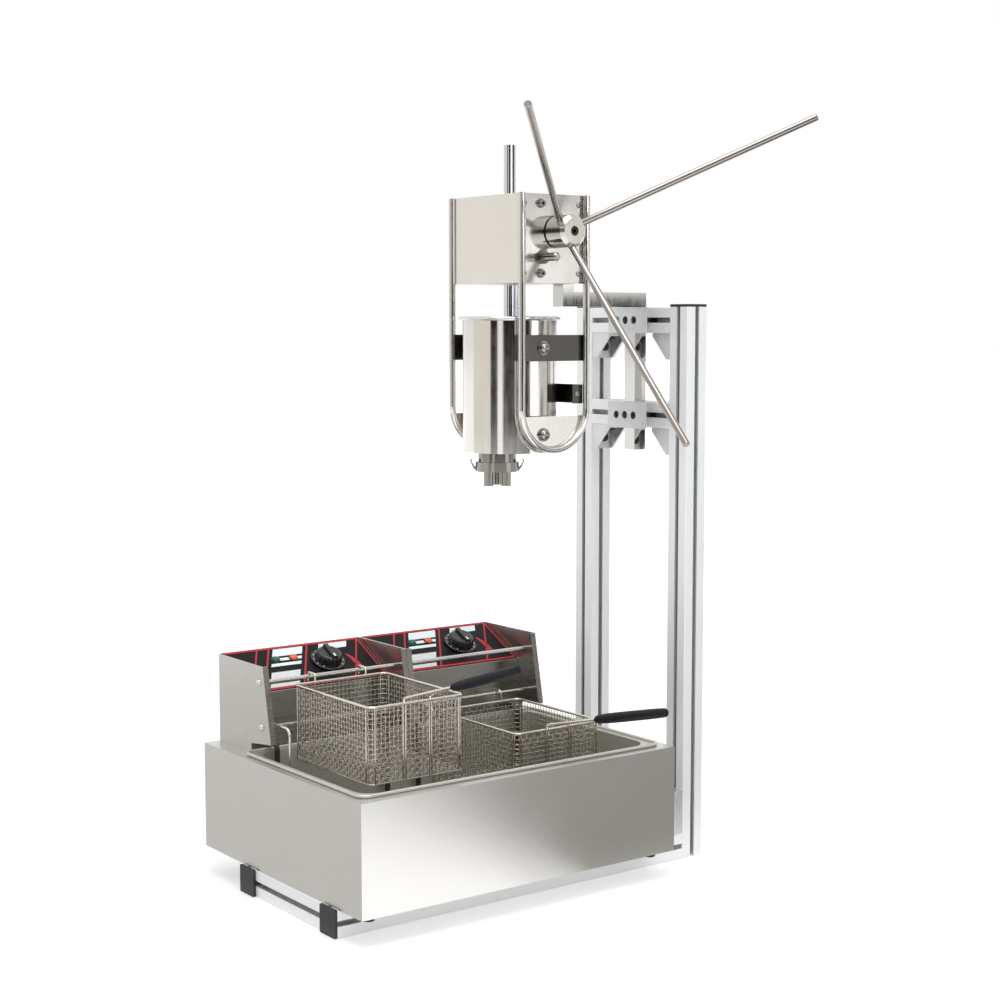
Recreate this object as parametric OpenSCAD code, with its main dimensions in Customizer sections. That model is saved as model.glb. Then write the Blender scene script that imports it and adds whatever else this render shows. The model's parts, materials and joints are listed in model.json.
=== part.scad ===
// Churro maker: a rack-and-pinion dough press on a slotted-profile stand,
// set over a counter fryer with two control heads and two wire baskets.
// Millimetres. X runs to the machine's right, Y to its back, Z up.
// The origin is on the floor, midway between the two upright posts.

/* [Stand] */
// Side of the square slotted profile
profile = 40; // [36:1:45]
// Opening of each slot
slot_open = 8; // [6:0.5:9]
// Thickness of the lips beside a slot
slot_lip = 4.5; // [3.5:0.5:5]
// Depth of a slot
slot_depth = 12; // [10:0.5:12.5]
// Bore through the middle of the profile
core_d = 6.8; // [5:0.2:7]
// Thread for a levelling foot in the foot of each post
tap_d = 8; // [7.2:0.2:8]
// Depth of that thread
tap_depth = 25; // [15:1:40]
// Height of the posts
post_h = 850; // [800:10:1000]
// Distance between the posts' centre lines
post_gap = 225; // [210:5:260]
// How far the floor rails reach past the fryer's near end
rail_over = 1; // [0:1:60]
// Height from the lower beam to the upper beam
beam_gap = 146; // [120:2:200]
// Thickness of the plastic end caps
cap_t = 4; // [3:0.5:6]
// Leg of the gussets under the beams
gusset = 40; // [35:1:50]
// Leg of the gussets on the rails
rail_gusset = 68; // [50:1:70]
// Wall of the gussets
gusset_t = 5; // [4:0.5:6]

/* [Mounting arm] */
// Width of the arm's tube, along X
arm_w = 24; // [20:1:30]
// Thickness of the arm's tube
arm_t = 22; // [18:1:26]
// Wall of the arm's tube
arm_wall = 2; // [1.5:0.5:3]
// Distance of the arm from the middle plane
arm_x = 26; // [20:1:32]
// How far the press head stands in front of the posts
head_reach = 164; // [140:2:200]
// How far the arm's bar reaches below the lower beam
arm_tail = 34; // [20:1:60]
// Length of a clamp plate
clamp_l = 80; // [74:1:90]
// Thickness of a clamp plate
clamp_t = 10; // [8:1:14]
// Distance between the holes of a clamp plate
clamp_pitch = 20; // [19:0.5:24]

/* [Gear head] */
// Width over the side plates
box_w = 164; // [160:1:176]
// Depth of the side plates
box_d = 123; // [118:1:130]
// Height of the gear head
box_h = 128; // [124:1:136]
// Height of the gear head's underside above the floor
box_z = 883; // [870:1:920]
// Thickness of the side plates
side_t = 3; // [2:0.5:4]
// Thickness of the folded covers
cover_t = 1.5; // [1:0.1:2]
// How far the rear cover lies in front of the side plates' rear edges
rear_inset = 7; // [5:0.5:10]
// Height of the rod guides
guide_h = 20; // [16:1:24]
// Depth of the rod guides
guide_d = 30; // [26:1:32]
// Distance of the guides' bolts from the head's top and bottom
guide_inset = 14; // [12:0.5:16]

/* [Rack and pinion] */
// Tooth module
gear_m = 2; // [1.8:0.1:2.2]
// Teeth on the pinion
gear_z = 15; // [14:1:17]
// Face width of the pinion
gear_w = 18; // [14:1:24]
// Backlash at the pitch line
backlash = 0.25; // [0.2:0.05:0.4]
// Diameter of the piston rod
rod_d = 18; // [16:1:20]
// Width of the rack bar behind the rod
rack_w = 14; // [12:1:16]
// Distance from the rod's axis to the rack's pitch line
rack_off = 10; // [9.5:0.25:11]
// Rod above the gear head at rest
rod_stub = 75; // [60:1:90]
// Downward travel left in the photographed pose
travel_down = 47; // [30:1:48]
// Upward travel, until the piston has left the cylinder
travel_up = 151; // [140:1:152]

/* [Crank] */
// Diameter of the crank shaft
shaft_d = 16; // [14:1:18]
// Diameter of the hub
hub_d = 47; // [44:1:52]
// Length of the hub
hub_l = 38; // [36:1:44]
// Diameter of a spoke
spoke_d = 10; // [8:0.5:12]
// Length of a spoke
spoke_l = 373; // [300:1:400]
// Slant of the spokes out of the hub's plane
spoke_slant = 41; // [35:1:45]
// Turn of the first spoke from the back
spoke_turn = 152; // [0:1:360]
// Number of spokes
spokes = 3; // [2:1:4]
// Length of the lock plunger's knob
plunger_l = 28; // [22:1:29]

/* [Cylinder] */
// Outside diameter of the cylinder
cyl_d = 140; // [136:1:142]
// Wall of the cylinder
cyl_wall = 2; // [1.5:0.5:3]
// Height of the cylinder
cyl_h = 200; // [190:1:204]
// Gap from the cylinder's mouth to the gear head
mouth_gap = 48; // [44:1:60]
// Diameter of the rolled bead at the mouth
bead_d = 6; // [4:0.5:7]
// Diameter of the outlet neck
neck_d = 57; // [50:1:60]
// Length of the outlet neck
neck_l = 23; // [20:1:26]
// How far the neck sits in front of the cylinder's axis
neck_off = 23; // [15:1:30]
// Thickness of the piston
piston_t = 20; // [16:1:22]
// Diameter of a nozzle tube
nozzle_d = 15; // [13:0.5:16]
// Length of a nozzle tube below the wing nut's plate
nozzle_l = 24; // [18:1:30]
// Span over the wings of the nut
wing_span = 80; // [74:1:90]

/* [Rod frame] */
// Diameter of the bent frame rods
frame_d = 10; // [8:0.5:12]
// Distance from a frame rod's front leg to its rear leg
frame_gap = 119; // [114:1:124]
// Drop of the rods' bends below the gear head's underside
frame_drop = 243; // [238:1:250]
// Height of the upper bands
band_h = 38; // [30:1:44]
// Height of the cylinder's upper bolts above its bottom
bolt_up = 154; // [145:1:160]
// Height of the cylinder's lower bolts above its bottom
bolt_low = 28; // [24:1:34]
// Height of the rear strip above the cylinder's bottom
strip_up = 86; // [76:1:96]

/* [Fryer] */
// Depth of the fryer's housing, along X
fryer_d = 441; // [436:1:450]
// Length of the fryer's housing, along Y
fryer_l = 550; // [546:1:560]
// Height of the fryer's housing
fryer_h = 158; // [150:1:170]
// Distance of the fryer's front from the middle plane
fryer_x = 193; // [185:1:200]
// Distance of the fryer's near end from the posts' centres
fryer_y = 92; // [90:1:100]
// Sheet of the fryer's housing
sheet = 1.5; // [1:0.1:2]
// Length of the oil pan over its rim
pan_l = 530; // [524:1:534]
// Width of the oil pan over its rim
pan_w = 325; // [320:1:328]
// Depth of the oil pan
pan_depth = 148; // [140:1:150]
// Width of the pan's rim
pan_rim = 13; // [10:1:14]
// Corner radius of the pan's rim
pan_r = 18; // [12:1:30]
// Corner radius of the pan's well
well_r = 30; // [20:1:45]
// Gap from the housing's front to the pan's rim
pan_gap = 17; // [14:1:19]
// Height of the control heads above the housing
head_h = 132; // [120:1:140]
// Width of both control heads together
heads_w = 498; // [490:1:504]
// Diameter of a thermostat knob
knob_d = 44; // [38:1:48]
// Diameter of the fryer's feet
foot_d = 20; // [16:1:24]
// Height of the fryer's feet
foot_h = 10; // [8:1:16]

/* [Baskets] */
// Basket size along X
basket_w = 208; // [190:1:214]
// Basket size along Y
basket_d = 162; // [150:1:170]
// Depth of a basket
basket_h = 110; // [100:1:112]
// Opening between the basket's wires
mesh_gap = 15; // [14:0.5:24]
// Wire of the basket's mesh
mesh_wire = 1.6; // [1.2:0.2:2]
// Wire of the basket's rim
rim_wire = 4; // [3:0.5:5]
// Rise of the left handle
handle_rise_left = 17.5; // [8:0.5:20]
// Rise of the right handle
handle_rise_right = 13.5; // [8:0.5:20]
// How far the handles' wires step up from the rims
handle_step = 7; // [4:0.5:10]
// Length of a grip
grip_l = 156; // [120:1:170]
// Diameter of a grip
grip_d = 15; // [13:0.5:18]

/* [Hidden] */

$fn = 48;
slip = 0.05;          // radial clearance of a turning or sliding shaft
seam = 0.1;           // hairline between sheets that are screwed or clipped together
free_gap = 0.35;      // clearance between pieces that move past each other
cut = 1;              // how far a cutter runs past the face it cuts

// stand
post_x = post_gap / 2;
rail_front = -fryer_y - fryer_l - rail_over;
rail_l = -profile / 2 - rail_front;
beam_z_up = post_h - profile / 2;
beam_z_low = beam_z_up - beam_gap;
slot_wide = 20;       // width of the slot behind its lips
slot_floor = 9;       // width of the slot's floor
bolt_m8 = 8;
head_m8 = 14;

// press head, all from the rod's axis
arm_face = -profile / 2;
box_rear = arm_face - head_reach;            // outer face of the rear cover
box_back = box_rear + rear_inset;            // rear edges of the side plates
box_front = box_back - box_d;                // front edges of the side plates
box_top = box_z + box_h;
plate_x = box_w / 2 - side_t;                // inner face of a side plate
pitch_r = gear_m * gear_z / 2;
rod_y = box_front + 45;
crank_y = rod_y + rack_off + pitch_r;
crank_z = box_z + 74;
screw_edge = 9.5;                            // cover screws from the side plates' front edge
screw_inset = 14;                            // cover screws from the top and bottom
screw_ys = [box_front + screw_edge, box_rear - screw_edge + 3];
screw_zs = [box_z + screw_inset, box_top - screw_inset];
tooth_pitch = PI * gear_m;
rack_add = 0.8 * gear_m;
rack_ded = 1.25 * gear_m;
guide_z_up = box_top - guide_inset;
guide_z_low = box_z + guide_inset;
plunger_z = box_z + 37;
plunger_y = rod_y - 2;

// cylinder and piston
cyl_z = box_z - mouth_gap - cyl_h;
cyl_in = cyl_d / 2 - cyl_wall;
piston_z = cyl_z + cyl_wall + travel_down + 1;
piston_boss = 8;
nut_h = 8;
neck_y = rod_y - neck_off;
frame_x = box_w / 2 + frame_d / 2;
frame_front = rod_y - 43;
frame_rear = frame_front + frame_gap;
bend_r = frame_gap / 2;
bend_z = box_z - frame_drop + bend_r;

// fryer
fry_x1 = fryer_x;
fry_x0 = fryer_x - fryer_d;
fry_y1 = -fryer_y;
fry_y0 = -fryer_y - fryer_l;
fry_z0 = profile;
fry_z1 = profile + fryer_h;
pan_x1 = fry_x1 - pan_gap;
pan_x0 = pan_x1 - pan_w;
pan_xm = (pan_x0 + pan_x1) / 2;
pan_ym = (fry_y0 + fry_y1) / 2;
pan_wall = 1.2;
pan_bead = 5;
case_w = heads_w / 2 - 0.5;
case_front = pan_x0 - 3;                     // foot of a control head's front face
panel_low = [case_front - 4, fry_z1 + 0.64 * head_h];
panel_high = [fry_x0, fry_z1 + head_h];
panel_tilt = atan2(panel_high[1] - panel_low[1], panel_low[0] - panel_high[0]);
panel_len = norm(panel_high - panel_low);
wing_top = case_front + 38;                  // front edge of the side wings, at the top
wing_low = case_front + 60;                  // and at the bottom
wing_foot = fry_z1 + 21;                     // height of the wings' lower front corner
lip_w = 9;                                   // lip folded inwards along the wings' front edges
rod_up = [case_front + 27.5, fry_z1 + 107.5];
rod_low = [case_front + 34, fry_z1 + 42.5];
rod_up_d = 6;
rod_low_d = 4;
hook_wire = 3.5;
hook_span = 20;
basket_x0 = case_front + 40;
basket_xm = basket_x0 + basket_w / 2;
basket_drop_up = 12;                         // hook's top above the rim of the raised basket
rim_z_up = rod_up[1] + rod_up_d / 2 + hook_wire / 2 + free_gap - basket_drop_up;
rim_z_low = rim_z_up - 71;
head_y = [for (s = [-1, 1]) pan_ym + s * heads_w / 4];
basket_y = [head_y[0] + 5, head_y[1] + 8.5];
handle_rise = [handle_rise_left, handle_rise_right];
basket_z = [rim_z_up, rim_z_low];
grip_start = 88;                             // from the rim's front to the grip
function grip_z(k) = basket_z[k] + handle_step + grip_start * tan(handle_rise[k]);

// ---- helpers ----
function arc(c, r, a0, a1, n) = [for (i = [0:n]) let (a = a0 + (a1 - a0) * i / n) c + r * [cos(a), sin(a)]];
function round_rect(w, d, r, n = 8) = concat(
    arc([w / 2 - r, d / 2 - r], r, 0, 90, n), arc([r - w / 2, d / 2 - r], r, 90, 180, n),
    arc([r - w / 2, r - d / 2], r, 180, 270, n), arc([w / 2 - r, r - d / 2], r, 270, 360, n));
function unit(v) = v / norm(v);
function side_of(d) = unit(cross(abs(d[2]) < 0.9 ? [0, 0, 1] : [1, 0, 0], d));

// Children, with their X, Y and Z turned to u, v and w and moved to p
module place(p, u, v, w) {
    multmatrix([[u[0], v[0], w[0], p[0]], [u[1], v[1], w[1], p[1]], [u[2], v[2], w[2], p[2]]]) children();
}

// A round rod from p to q
module rod_between(p, q, d) {
    w = unit(q - p);
    u = side_of(w);
    place(p, u, cross(w, u), w) cylinder(d = d, h = norm(q - p));
}

// A round rod through points, with a bend of radius r at each inner one
module bent_rod(pts, d, r) {
    last = len(pts) - 1;
    dirs = [for (i = [0:last - 1]) unit(pts[i + 1] - pts[i])];
    turn = [for (i = [1:last - 1]) acos(max(-1, min(1, dirs[i - 1] * dirs[i])))];
    back = concat([0], [for (a = turn) r * tan(a / 2)], [0]);
    for (i = [0:last - 1])
        rod_between(pts[i] + dirs[i] * back[i], pts[i + 1] - dirs[i] * back[i + 1], d);
    for (i = [1:last - 1]) {
        a = dirs[i - 1];
        n = unit(cross(a, dirs[i]));
        inward = cross(n, a);
        place(pts[i] - a * back[i] + inward * r, -inward, a, n)
            rotate_extrude(angle = turn[i - 1]) translate([r, 0]) circle(d = d);
    }
}

// A closed wire round a rectangle with round corners, lying flat
module wire_loop(w, d, r, wire) {
    for (s = [-1, 1]) {
        translate([s * w / 2, r - d / 2, 0]) rotate([-90, 0, 0]) cylinder(d = wire, h = d - 2 * r);
        translate([r - w / 2, s * d / 2, 0]) rotate([0, 90, 0]) cylinder(d = wire, h = w - 2 * r);
    }
    for (k = [0:3])
        translate([(k == 0 || k == 3 ? 1 : -1) * (w / 2 - r), (k < 2 ? 1 : -1) * (d / 2 - r), 0])
            rotate(90 * k) rotate_extrude(angle = 90) translate([r, 0]) circle(d = wire);
}

// A cylinder along X from x0 to x1
module x_rod(x0, x1, y, z, d) { translate([x0, y, z]) rotate([0, 90, 0]) cylinder(d = d, h = x1 - x0); }

// A block between two corners
module block(p, q) { translate(p) cube(q - p); }

// A slot cutter with round ends, along Z, its length along X
module slot_cutter(l, d, h) {
    for (s = [-1, 1]) translate([s * (l - d) / 2, 0, 0]) cylinder(d = d, h = h);
    translate([-(l - d) / 2, -d / 2, 0]) cube([l - d, d, h]);
}

// A dome-headed bolt: washer face at z = 0, head up, shank down
module dome_bolt(head, h, shank, l) {
    rotate_extrude() polygon(concat([[0, 0], [head / 2, 0]],
        [for (i = [0:6]) [head / 2 * cos(15 * i), h * 0.35 + h * 0.65 * sin(15 * i)]], [[0, h]]));
    translate([0, 0, -l]) cylinder(d = shank, h = l);
}

// ---- stand ----
module slot_2d() {
    half = profile / 2;
    polygon([[half + cut, -slot_open / 2], [half + cut, slot_open / 2], [half - slot_lip, slot_open / 2],
             [half - slot_lip, slot_wide / 2], [half - slot_lip - 2, slot_wide / 2],
             [half - slot_depth, slot_floor / 2], [half - slot_depth, -slot_floor / 2],
             [half - slot_lip - 2, -slot_wide / 2], [half - slot_lip, -slot_wide / 2],
             [half - slot_lip, -slot_open / 2]]);
}

module profile_2d() {
    difference() {
        polygon(round_rect(profile, profile, 1.5, 3));
        for (k = [0:3]) rotate(90 * k) slot_2d();
        circle(d = core_d);
    }
}

module post(s) {
    color("gainsboro") translate([s * post_x, 0, 0]) difference() {
        linear_extrude(post_h) profile_2d();
        translate([0, 0, -cut]) cylinder(d = tap_d, h = tap_depth + cut);
    }
}

module rail(s) {
    color("gainsboro") translate([s * post_x, -profile / 2, profile / 2]) rotate([90, 0, 0])
        linear_extrude(rail_l) profile_2d();
}

// A profile between the posts or rails
module cross_member(y, z) {
    color("gainsboro") translate([profile / 2 - post_x, y, z]) rotate([0, 90, 0])
        linear_extrude(post_gap - profile) profile_2d();
}

module end_cap() {
    linear_extrude(cap_t) polygon(round_rect(profile, profile, 2, 3));
    translate([0, 0, -6]) cylinder(d = core_d - 2 * slip, h = 6.5);
}

module profile_caps() {
    color("#222222") for (s = [-1, 1]) {
        translate([s * post_x, 0, post_h]) end_cap();
        translate([s * post_x, rail_front, profile / 2]) rotate([90, 0, 0]) end_cap();
    }
}

// A cast corner gusset: plates on -X and +Z of its inner corner, two ribs between them
module corner_gusset(leg) {
    width = profile - 2;
    difference() {
        union() {
            translate([0, -width / 2, -leg]) cube([gusset_t, width, leg]);
            translate([0, -width / 2, -gusset_t]) cube([leg, width, gusset_t]);
            for (s = [-1, 1]) translate([0, s * (width - 4) / 2 + 2, 0]) rotate([90, 0, 0]) linear_extrude(4)
                polygon([[0, 0], [leg, 0], [leg, -gusset_t], [gusset_t + 3, -leg], [0, -leg]]);
        }
        translate([-cut, 0, -leg * 0.55]) rotate([0, 90, 0])
            slot_cutter(leg * 0.36, bolt_m8 + 1, gusset_t + 2 * cut);
        translate([leg * 0.55, 0, -gusset_t - cut]) slot_cutter(leg * 0.36, bolt_m8 + 1, gusset_t + 2 * cut);
    }
}

// One bolt and its slot nut: head on z = gusset_t, nut under the slot's lips
module slot_bolt(grip, head = head_m8, h = 4.5) {
    nut = slot_depth - slot_lip - 3;
    difference() {
        union() {
            translate([0, 0, grip]) cylinder(d = head, h = h);
            translate([0, 0, -slot_lip - nut])
                cylinder(d = min(bolt_m8, slot_open) - 1, h = slot_lip + nut + grip + 1);
            translate([-7, -5, -slot_lip - nut]) cube([14, 10, nut]);
        }
        translate([0, 0, grip + h - 2.5]) cylinder(d = 5, h = 4, $fn = 6);
    }
}

module each_beam_gusset() {
    for (z = [beam_z_up, beam_z_low], s = [-1, 1])
        translate([s * (post_x - profile / 2), 0, z - profile / 2]) mirror([s > 0 ? 1 : 0, 0, 0]) children();
}

module each_rail_gusset() {
    for (s = [-1, 1])
        place([s * post_x, -profile / 2, profile], [0, -1, 0], [-1, 0, 0], [0, 0, -1]) children();
}

module beam_gussets() { color("silver") each_beam_gusset() corner_gusset(gusset); }
module rail_gussets() { color("silver") each_rail_gusset() corner_gusset(rail_gusset); }

module slot_bolts() {
    color("dimgray") {
        each_beam_gusset() gusset_bolt_pair(gusset);
        each_rail_gusset() gusset_bolt_pair(rail_gusset);
        each_clamp() for (s = [-1, 1]) translate([s * clamp_pitch, 0, 0]) clamp_bolt();
    }
}

module gusset_bolt_pair(leg) {
    translate([0, 0, -leg * 0.55]) rotate([0, 90, 0]) slot_bolt(gusset_t);
    translate([leg * 0.55, 0, 0]) rotate([180, 0, 0]) slot_bolt(gusset_t);
}

// ---- mounting arm ----
arm_z = post_h;                       // underside of the level run
arm_top = box_top - 12;
bar_end = beam_z_low - profile / 2 - arm_tail;

// One mitred tube of the arm, drawn in the YZ plane and then hollowed
module arm_tube(outer, inner) {
    translate([arm_x - arm_w / 2, 0, 0]) difference() {
        rotate([90, 0, 90]) linear_extrude(arm_w) polygon(outer);
        translate([arm_wall, 0, 0]) rotate([90, 0, 90]) linear_extrude(arm_w - 2 * arm_wall) polygon(inner);
    }
}

module mounting_arm() {
    y0 = box_rear;
    y1 = box_rear + arm_t;
    y2 = arm_face - arm_t;
    y3 = arm_face;
    z0 = arm_z;
    z1 = arm_z + arm_t;
    w = arm_wall;
    color("lightgray") {
        arm_tube([[y0, z0], [y1, z1], [y1, arm_top], [y0, arm_top]],
                 [[y0 + w, z0 - cut], [y1 - w, z0 - cut], [y1 - w, arm_top + cut], [y0 + w, arm_top + cut]]);
        arm_tube([[y0, z0], [y2, z0], [y3, z1], [y1, z1]],
                 [[y0 - cut, z0 + w], [y3 + cut, z0 + w], [y3 + cut, z1 - w], [y0 - cut, z1 - w]]);
        arm_tube([[y2, z0], [y3, z1], [y3, bar_end], [y2, bar_end]],
                 [[y2 + w, z1 + cut], [y3 - w, z1 + cut], [y3 - w, bar_end - cut], [y2 + w, bar_end - cut]]);
    }
}

clamp_y = arm_face - arm_t - clamp_t;        // front face of a clamp plate
module each_clamp() {
    for (z = [beam_z_up, beam_z_low]) translate([arm_x, clamp_y, z]) rotate([-90, 0, 0]) children();
}

module clamp_plates() {
    color("silver") each_clamp() difference() {
        translate([-clamp_l / 2, -profile / 2, 0]) cube([clamp_l, profile, clamp_t]);
        translate([0, 0, -cut]) cylinder(d = 12, h = clamp_t + 2 * cut);
        for (s = [-1, 1]) translate([s * clamp_pitch, 0, 0]) {
            translate([0, 0, -cut]) cylinder(d = 6.6, h = clamp_t + 2 * cut);
            translate([0, 0, -cut]) cylinder(d = 12, h = clamp_t / 2 + cut);
        }
    }
}

// A long bolt: its head sunk in the clamp plate, its nut under the slot's lips
module clamp_bolt() {
    nut = slot_depth - slot_lip - 3;
    reach = clamp_t + arm_t + slot_lip;
    difference() {
        union() {
            translate([0, 0, clamp_t / 2 - 4.5]) cylinder(d = 10, h = 4.5);
            translate([0, 0, clamp_t / 2 - 1]) cylinder(d = 6, h = reach - clamp_t / 2 + nut + 1);
            translate([-7, -5, reach]) cube([14, 10, nut]);
        }
        translate([0, 0, clamp_t / 2 - 6]) cylinder(d = 5, h = 4, $fn = 6);
    }
}

// ---- gear head ----
cover_h = box_h - 2 * cover_t;

module side_plate(s) {
    color("silver") difference() {
        block([s > 0 ? plate_x : -box_w / 2, box_front, box_z], [s > 0 ? box_w / 2 : -plate_x, box_back, box_top]);
        for (z = [guide_z_low, guide_z_up]) x_rod(-box_w, box_w, rod_y - 6, z, 6.6);
        x_rod(-box_w, box_w, crank_y, crank_z, shaft_d + 8 + 2 * slip);
        for (y = screw_ys, z = screw_zs) x_rod(-box_w, box_w, y, z, 4.4);
        if (s > 0) x_rod(0, box_w, plunger_y, plunger_z, 12.4);
    }
}

// A folded channel, open towards +Y, with rounded bends
module channel(w, d, h, t, r) {
    linear_extrude(h) difference() {
        translate([0, d]) polygon(round_rect(w, 2 * d, r, 5));
        translate([0, d]) polygon(round_rect(w - 2 * t, 2 * (d - t), r - t, 5));
        translate([-w, d]) square([2 * w, 2 * d]);
    }
}

module front_cover() {
    color("lightgray") translate([0, box_front + 1.5, box_z + cover_t]) difference() {
        channel(2 * plate_x, 14, cover_h, cover_t, 4);
        cover_screw_holes(screw_edge - 1.5);
    }
}

module rear_cover() {
    color("lightgray") translate([0, box_rear, box_z + cover_t]) mirror([0, 1, 0]) difference() {
        channel(2 * plate_x, 14, cover_h, cover_t, 4);
        cover_screw_holes(screw_edge - 3);
    }
}

module cover_screw_holes(y) {
    for (z = [screw_inset, box_h - screw_inset]) x_rod(-box_w, box_w, y, z - cover_t, 4.4);
}

// The gear head's lid and floor, with the way through for the rod and its rack
module end_plates() {
    color("silver") for (z = [box_z, box_top - cover_t]) difference() {
        block([-plate_x, box_front + 1.5, z], [plate_x, box_rear, z + cover_t]);
        translate([0, rod_y, z - cut]) {
            cylinder(d = rod_d + 2, h = cover_t + 2 * cut);
            translate([-rack_w / 2 - 1, 0, 0])
                cube([rack_w + 2, rack_off + rack_add + 1.5, cover_t + 2 * cut]);
        }
    }
}

module cover_screws() {
    color("gray") for (s = [0, 1]) mirror([s, 0, 0])
        for (y = screw_ys, z = screw_zs)
            translate([box_w / 2, y, z]) rotate([0, 90, 0]) dome_bolt(8, 2.4, 4.2, side_t + cover_t + 2);
}

module rod_guides() {
    color("darkkhaki") for (z = [guide_z_low, guide_z_up]) difference() {
        translate([-plate_x, rod_y - guide_d / 2, z - guide_h / 2]) cube([2 * plate_x, guide_d, guide_h]);
        translate([0, rod_y, z - guide_h]) cylinder(d = rod_d + 2 * slip, h = 2 * guide_h);
        translate([-rack_w / 2 - free_gap, rod_y, z - guide_h])
            cube([rack_w + 2 * free_gap, guide_d, 2 * guide_h]);
        for (s = [0, 1]) mirror([s, 0, 0]) x_rod(plate_x - 22, plate_x + cut, rod_y - 6, z, 6.2);
    }
}

module guide_bolts() {
    color("silver") for (s = [0, 1], z = [guide_z_low, guide_z_up]) mirror([s, 0, 0])
        translate([box_w / 2, rod_y - 6, z]) rotate([0, 90, 0]) difference() {
            union() {
                cylinder(d = 14, h = 1.2);
                cylinder(d = 10, h = 6.5);
                translate([0, 0, -side_t - 15]) cylinder(d = 6, h = side_t + 16);
            }
            translate([0, 0, 3.5]) cylinder(d = 5.5, h = 4, $fn = 6);
        }
}

// ---- rod frame round the cylinder ----
module frame_rod(s) {
    x = s * frame_x;
    low = bend_z - bend_r;
    color("silver") {
        for (y = [frame_front, frame_rear])
            translate([x, y, bend_z]) cylinder(d = frame_d, h = box_top - bend_z);
        translate([x, frame_front + bend_r, bend_z]) rotate([90, 0, 90]) rotate([0, 0, 180])
            rotate_extrude(angle = 180) translate([bend_r, 0]) circle(d = frame_d);
    }
}

module upper_bands() {
    z = cyl_z + bolt_up;
    color("silver") for (s = [0, 1]) mirror([s, 0, 0]) difference() {
        block([plate_x, frame_front - 2, z - band_h / 2], [plate_x + side_t, frame_rear + 2, z + band_h / 2]);
        x_rod(plate_x - cut, plate_x + side_t + cut, rod_y, z, 10.4);
    }
}

module lower_plates() {
    z = cyl_z + bolt_low;
    color("silver") for (s = [0, 1]) mirror([s, 0, 0]) difference() {
        intersection() {
            x_rod(plate_x, plate_x + side_t, frame_front + bend_r, bend_z, 2 * bend_r);
            block([plate_x, frame_front, bend_z - bend_r - cut], [plate_x + side_t, frame_rear, bend_z - 10]);
        }
        x_rod(plate_x - cut, plate_x + side_t + cut, rod_y, z, 10.4);
    }
}

strip_z = cyl_z + strip_up;
module rear_strip() {
    y1 = rod_y + cyl_d / 2 + 1;
    color("silver") difference() {
        union() {
            block([-plate_x - side_t, y1, strip_z - 14], [plate_x + side_t, y1 + 2, strip_z + 14]);
            for (s = [0, 1]) mirror([s, 0, 0])
                block([box_w / 2 - 2, y1 - 15, strip_z - 14], [box_w / 2, y1 + 1, strip_z + 14]);
        }
        x_rod(-box_w, box_w, y1 - 8, strip_z, 4.4);
    }
}

// ---- cylinder, outlet and piston ----
module cylinder_shell() {
    rotate_extrude($fn = 96) {
        translate([cyl_in, 0]) square([cyl_wall, cyl_h - bead_d / 2]);
        translate([cyl_d / 2 + bead_d / 2 - 0.6, cyl_h - bead_d / 2]) circle(d = bead_d, $fn = 24);
        translate([cyl_in, cyl_h - bead_d]) square([cyl_wall, bead_d / 2]);
    }
}

module cylinder_body() {
    boss = 18;
    color("silver") translate([0, rod_y, cyl_z]) difference() {
        union() {
            cylinder_shell();
            cylinder(d = cyl_d, h = cyl_wall, $fn = 96);
            translate([0, -neck_off, -neck_l]) cylinder(d = neck_d, h = neck_l + 0.5);
            for (z = [bolt_low, bolt_up], s = [0, 1]) mirror([s, 0, 0])
                x_rod(cyl_in + cyl_wall / 2, plate_x, 0, z, boss);
        }
        translate([0, -neck_off, -neck_l - cut]) cylinder(d = neck_d - 4, h = neck_l + cyl_wall + 2 * cut);
        for (z = [bolt_low, bolt_up], s = [0, 1]) mirror([s, 0, 0])
            x_rod(cyl_d / 2 + 0.5, plate_x + cut, 0, z, 8.2);
    }
}

module cylinder_bolts() {
    color("silver") {
        for (s = [0, 1], z = [bolt_low, bolt_up]) mirror([s, 0, 0]) translate([box_w / 2, rod_y, cyl_z + z])
            rotate([0, 90, 0]) {
                cylinder(d = 20, h = 1.6);
                translate([0, 0, 1.6]) dome_bolt(16, 8, 8, box_w / 2 - cyl_d / 2 + 0.4);
            }
        for (s = [0, 1]) mirror([s, 0, 0]) translate([box_w / 2, rod_y + cyl_d / 2 - 7, strip_z])
            rotate([0, 90, 0]) dome_bolt(8, 2.4, 4.2, 4);
    }
}

ring_z = cyl_z - neck_l - 6;                 // underside of the wing nut
nozzle_ring = 15;                            // circle that the nozzles stand on
module star_2d(r0, r1, n) {
    polygon([for (i = [0:2 * n - 1]) (i % 2 == 0 ? r0 : r1) * [cos(180 * i / n), sin(180 * i / n)]]);
}

module nozzle_plate() {
    top = cyl_z - neck_l - 0.2;
    plate_t = 3.4;
    end_z = top - plate_t - nozzle_l;
    color("gray") translate([0, neck_y, 0]) difference() {
        union() {
            translate([0, 0, top - plate_t]) cylinder(d = neck_d - 1, h = plate_t);
            for (k = [0:2]) rotate(120 * k + 25) translate([nozzle_ring, 0, end_z])
                cylinder(d = nozzle_d, h = nozzle_l + 1);
        }
        for (k = [0:2]) rotate(120 * k + 25) translate([nozzle_ring, 0, 0]) {
            translate([0, 0, end_z + 5]) cylinder(d = nozzle_d - 3, h = nozzle_l + plate_t);
            translate([0, 0, end_z - cut]) linear_extrude(8) star_2d(nozzle_d / 2 - 1.6, nozzle_d / 2 - 4, 6);
        }
    }
}

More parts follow.
